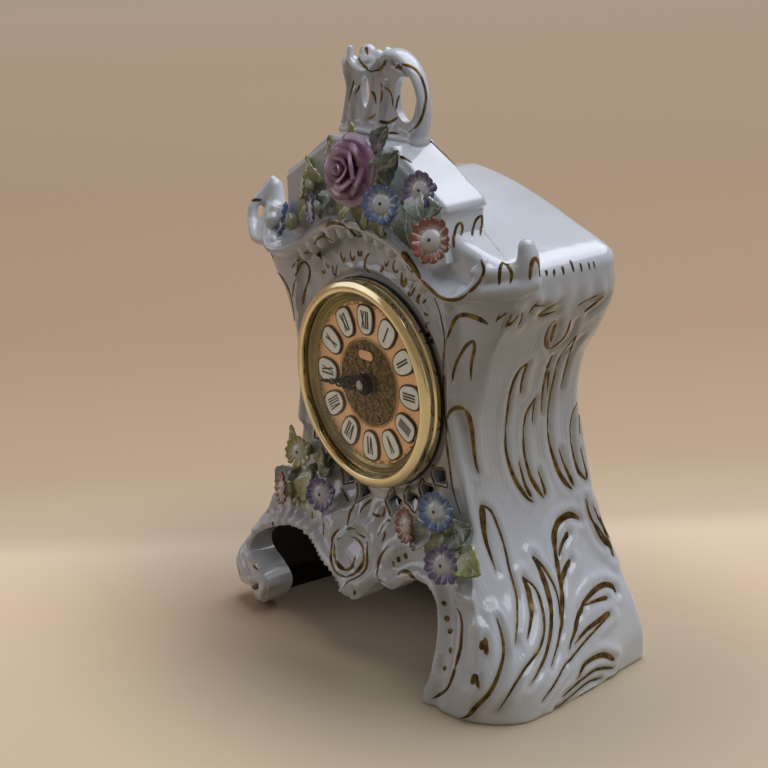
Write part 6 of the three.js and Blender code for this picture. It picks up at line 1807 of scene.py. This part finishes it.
def make_chapter_ring():
    """Twelve white enamel plaques with black numerals, each inside a thin dark line pressed into the gilt."""
    plaques, ink, lines = [], [], []
    rim = cartouche_outline(0.5)
    for hour, text in enumerate(NUMERALS):
        turn = hour * math.pi / 6
        plaques += placed([slab(cartouche_outline(), RING_FRONT_Y, DIAL_FRONT_Y)], turn, NUMERAL_R)
        ink += placed(numeral(text), turn, NUMERAL_R)
        lines += placed([band(rim + rim[:1], 0.7, -34.1, DIAL_FRONT_Y)], turn, NUMERAL_R)
    ring = weld("chapter_ring_enamelled",
                settle(mesh_object("plaques", *joined(plaques), material=enamel)),
                settle(mesh_object("numerals", *joined(ink), material=ink_black)),
                settle(mesh_object("lines", *joined(lines), material=dark_gilt)))
    return shade(ring, 40)


def bead(radius, material):
    """One slightly flattened bead, looking along +Z."""
    shape = ball((0, 0, 0), (radius, radius, radius * 0.8), 10)
    return settle(mesh_object("bead", *shape, material=material))


def turn_to_dial(obj, y):
    """Lays a piece made round +Z against the dial, its +Z toward the viewer, at depth y (mm)."""
    obj.data.transform(Matrix.Translation(Vector((0, y, DIAL_Z)) * MM) @ Matrix.Rotation(math.pi / 2, 4, "X"))
    return obj


def make_medallion():
    """Engraved centre: a domed disc covered with leaf scrolls, inside a ring of beads."""
    rings = [(r, -33.95 - 0.12 * math.sin(r)) for r in np.linspace(20.2, 4.9, 24)]
    disc = lathe("disc", [(20.6, -33.62)] + rings + [(4.9, -33.62)], 160, engraved_brass)
    scrolls = []
    for i in range(12):
        for side in (-1, 1):
            leaf = [(0, 6.2), (side * 1.6, 8.4), (side * 2.9, 11.2), (side * 2.4, 13.8), (side * 0.9, 14.2),
                    (side * 0.4, 12.8), (side * 1.2, 12.2)]
            scrolls += placed([band(smooth_line(leaf, 0.7), 0.55, -34.25, -33.9)], i * math.pi / 6, 0)
            frond = [(side * 0.3, 15.2), (side * 1.8, 15.8), (side * 3.2, 17.2), (side * 3.6, 18.8),
                     (side * 2.4, 19.2), (side * 2.0, 18.2)]
            scrolls += placed([band(smooth_line(frond, 0.7), 0.5, -34.25, -33.9)], (i + 0.5) * math.pi / 6, 0)
    relief = settle(mesh_object("relief", *joined(scrolls), material=engraved_brass))
    beads = turn_to_dial(copies_round("beads", bead(0.42, gilt), 120, 21.3, gilt), -33.9)
    return shade(weld("medallion_engraved", disc, relief, beads), 50)


BORDER_FLOWERS = 36
BORDER_R = 39.0


def make_dial_border():
    """Pressed flower border near the dial's rim."""
    parts = []
    for i in range(BORDER_FLOWERS):
        turn = i * 2 * math.pi / BORDER_FLOWERS
        petal = [ball((0.9 * math.cos(a), -33.45, 0.9 * math.sin(a)), (0.5, 0.35, 0.5), 8)
                 for a in np.arange(5) * 2 * math.pi / 5]
        parts += placed(petal + [ball((0, -33.6, 0), (0.4, 0.35, 0.4), 8)], turn, BORDER_R)
        sprig = [(-2.2, -0.6), (-1.2, 0.7), (0.4, 0.4), (1.6, -0.7)]
        halfway = turn + math.pi / BORDER_FLOWERS
        parts += placed([band(smooth_line(sprig, 0.6), 0.35, -33.6, -33.25)], halfway, BORDER_R)
    flowers = settle(mesh_object("border_flowers", *joined(parts), material=gilt))
    beads = turn_to_dial(copies_round("beads", bead(0.3, gilt), 150, 37.75, gilt), -33.5)
    return shade(weld("dial_border_pressed", flowers, beads), 60)


# Hands, drawn pointing up (+z) from the axis; turned to the time in the photograph
HANDS_TURN = -math.radians(98.0)


def serpent_hand(length, boss, y_front, y_back, width):
    """Openwork hand: pairs of S scrolls that meet and part, then a lance tip."""
    ring = circle(boss, 40)
    middle = [(x * 0.72, z * 0.72) for x, z in np.concatenate([ring, ring[:1]])]
    parts = [band(middle, boss * 0.56, y_front, y_back)]
    reach = length - boss
    for side in (-1, 1):
        scroll = [(side * 0.8, 0.02), (side * 2.3, 0.10), (side * 2.9, 0.20), (side * 1.7, 0.29),
                  (side * 0.5, 0.33), (side * 1.2, 0.40), (side * 2.2, 0.48), (side * 1.8, 0.56),
                  (side * 0.4, 0.60), (side * 1.3, 0.66), (side * 1.1, 0.73), (side * 0.2, 0.78)]
        curl = [(side * 1.7, 0.29), (side * 3.0, 0.33), (side * 3.0, 0.40), (side * 2.2, 0.41),
                (side * 2.1, 0.37)]
        for shape, step, thick in ((scroll, 0.6, 0.85), (curl, 0.5, 0.7)):
            line = [(x * width, boss * 0.8 + z * reach) for x, z in shape]
            parts.append(band(smooth_line(line, step), thick, y_front, y_back))
    parts.append(band([(0, boss * 0.7), (0, boss + reach * 0.45), (0, boss + reach * 0.7)], 0.7, y_front,
                      y_back))
    tip = np.array([[0, boss * 0.8 + 0.74 * reach], [0, boss * 0.8 + 0.84 * reach], [0, length - 0.6],
                    [0, length]])
    parts.append(band(tip, np.array([1.0, 2.0, 0.7, 0.3]), y_front, y_back))
    return parts


def round_edges(obj, width):
    """Sharp edges rounded by width mm, and smooth shading."""
    edge = obj.modifiers.new("rounded", "BEVEL")
    edge.width = width * MM
    edge.segments = 2
    edge.limit_method = "ANGLE"
    return shade(settle(obj, merge=False))


def make_hand(name, length, boss, y_front, y_back, width):
    """A hand at the time in the photograph, with its edges rounded."""
    parts = placed(serpent_hand(length, boss, y_front, y_back, width), HANDS_TURN, 0)
    return round_edges(settle(mesh_object(name, *joined(parts), material=hand_steel)), 0.08)


PLATE_HALF = 3.2  # from the plate's middle to the middle of each round end
PLATE_ROUND = 2.15
PLATE_Z = 150.75


def make_blank_plate():
    """The small plate over the axis with rounded ends, where a name would be; it is left blank."""
    outline = []
    for cx, first in ((PLATE_HALF, -90), (-PLATE_HALF, 90)):
        outline += arc(cx, PLATE_Z, PLATE_ROUND, first, first + 180, 10)
    plate = mesh_object("blank_plate", *slab(outline, -34.75, -34.35), material=copper_gilt)
    return round_edges(settle(plate), 0.15)


make_stage()
make_lights()

# The porcelain, with its gilding
case = make_case()
case.name = "case_porcelain"
comb_attributes(case)
case.data.materials.clear()
case.data.materials.append(porcelain)
shade(case, 42)
pediment = make_pediment(luted_porcelain)
crest = make_crest(luted_porcelain)
finish_piece(case, "clock_case", "porcelain", "case_body")
finish_piece(pediment, "clock_case", "porcelain", "pediment")
finish_piece(crest, "clock_case", "porcelain", "crest")
finish_piece(gild_case(case, gold), "clock_case", "gilt_brass")
finish_piece(gild_top(case, pediment, crest, gold), "clock_case", "gilt_brass")

# The flowers and leaves
FLOWER_SLOTS = {"blue": "glaze_blue", "violet": "glaze_violet", "rust": "glaze_orange",
                "yellow": "glaze_yellow"}
for number, (node, at, facing, radius, tone) in enumerate(DAISIES):
    daisy = make_daisy(node + "_modelled", at, facing, radius, glazes[tone], number + 1)
    finish_piece(daisy, "clock_case", FLOWER_SLOTS[tone], node)
for node, rings in (("rose_petals", ROSE_OUTER), ("rose_heart", ROSE_INNER)):
    finish_piece(rose_petals(node + "_modelled", rings, glazes["rose"]), "clock_case", "glaze_pink", node)
for node in LEAVES:
    finish_piece(make_spray(node), "clock_case", "glaze_leaf", node)

# The clock insert and its hands
for maker, slot, node in ((make_bezel, "gilt_brass", "bezel"), (make_crystal, "crystal_glass", "crystal"),
                          (make_rehaut, "gilt_brass", "rehaut"),
                          (make_chapter_ring, "enamel_white", "chapter_ring"),
                          (make_medallion, "gilt_brass", "medallion"),
                          (make_dial_border, "gilt_brass", "dial_border"),
                          (make_blank_plate, "copper_tone", "blank_cartouche")):
    finish_piece(maker(), "clock_case", slot, node)
finish_piece(make_hand("hour_hand_pierced", 25, 5.4, -36.8, -36.2, 1.0), "hour", "black_steel", "hour_hand")
finish_piece(make_hand("minute_hand_pierced", 33, 4.4, -38.1, -37.5, 0.85), "minute", "black_steel",
             "minute_hand")

# The CAD's own solids that are shown as they are, by finish
NODE_FINISHES = {
    copper_gilt: ["dial_plate"],
    brass: ["minute_arbor"],
    spring: ["insert_band", "dial_washer", "contact_plus", "contact_minus", "hand_cap", "fixing_nut"]
            + [f"{kind}_{i}" for kind in ("spring_clip", "clip_screw") for i in (1, 2, 3)],
    rubber: ["gasket"],
    black_plastic: ["movement_housing", "rear_cover", "battery_cover"],
    white_plastic: ["hour_wheel", "minute_wheel", "setting_knob"],
    jacket: ["battery"],
    board: ["circuit_board"],
    dark_brass: ["coil"],
}
for finish, nodes in NODE_FINISHES.items():
    for node in nodes:
        slots = bpy.data.objects[node].data.materials
        if len(slots) == 0:
            slots.append(finish)
        for i in range(len(slots)):
            slots[i] = finish
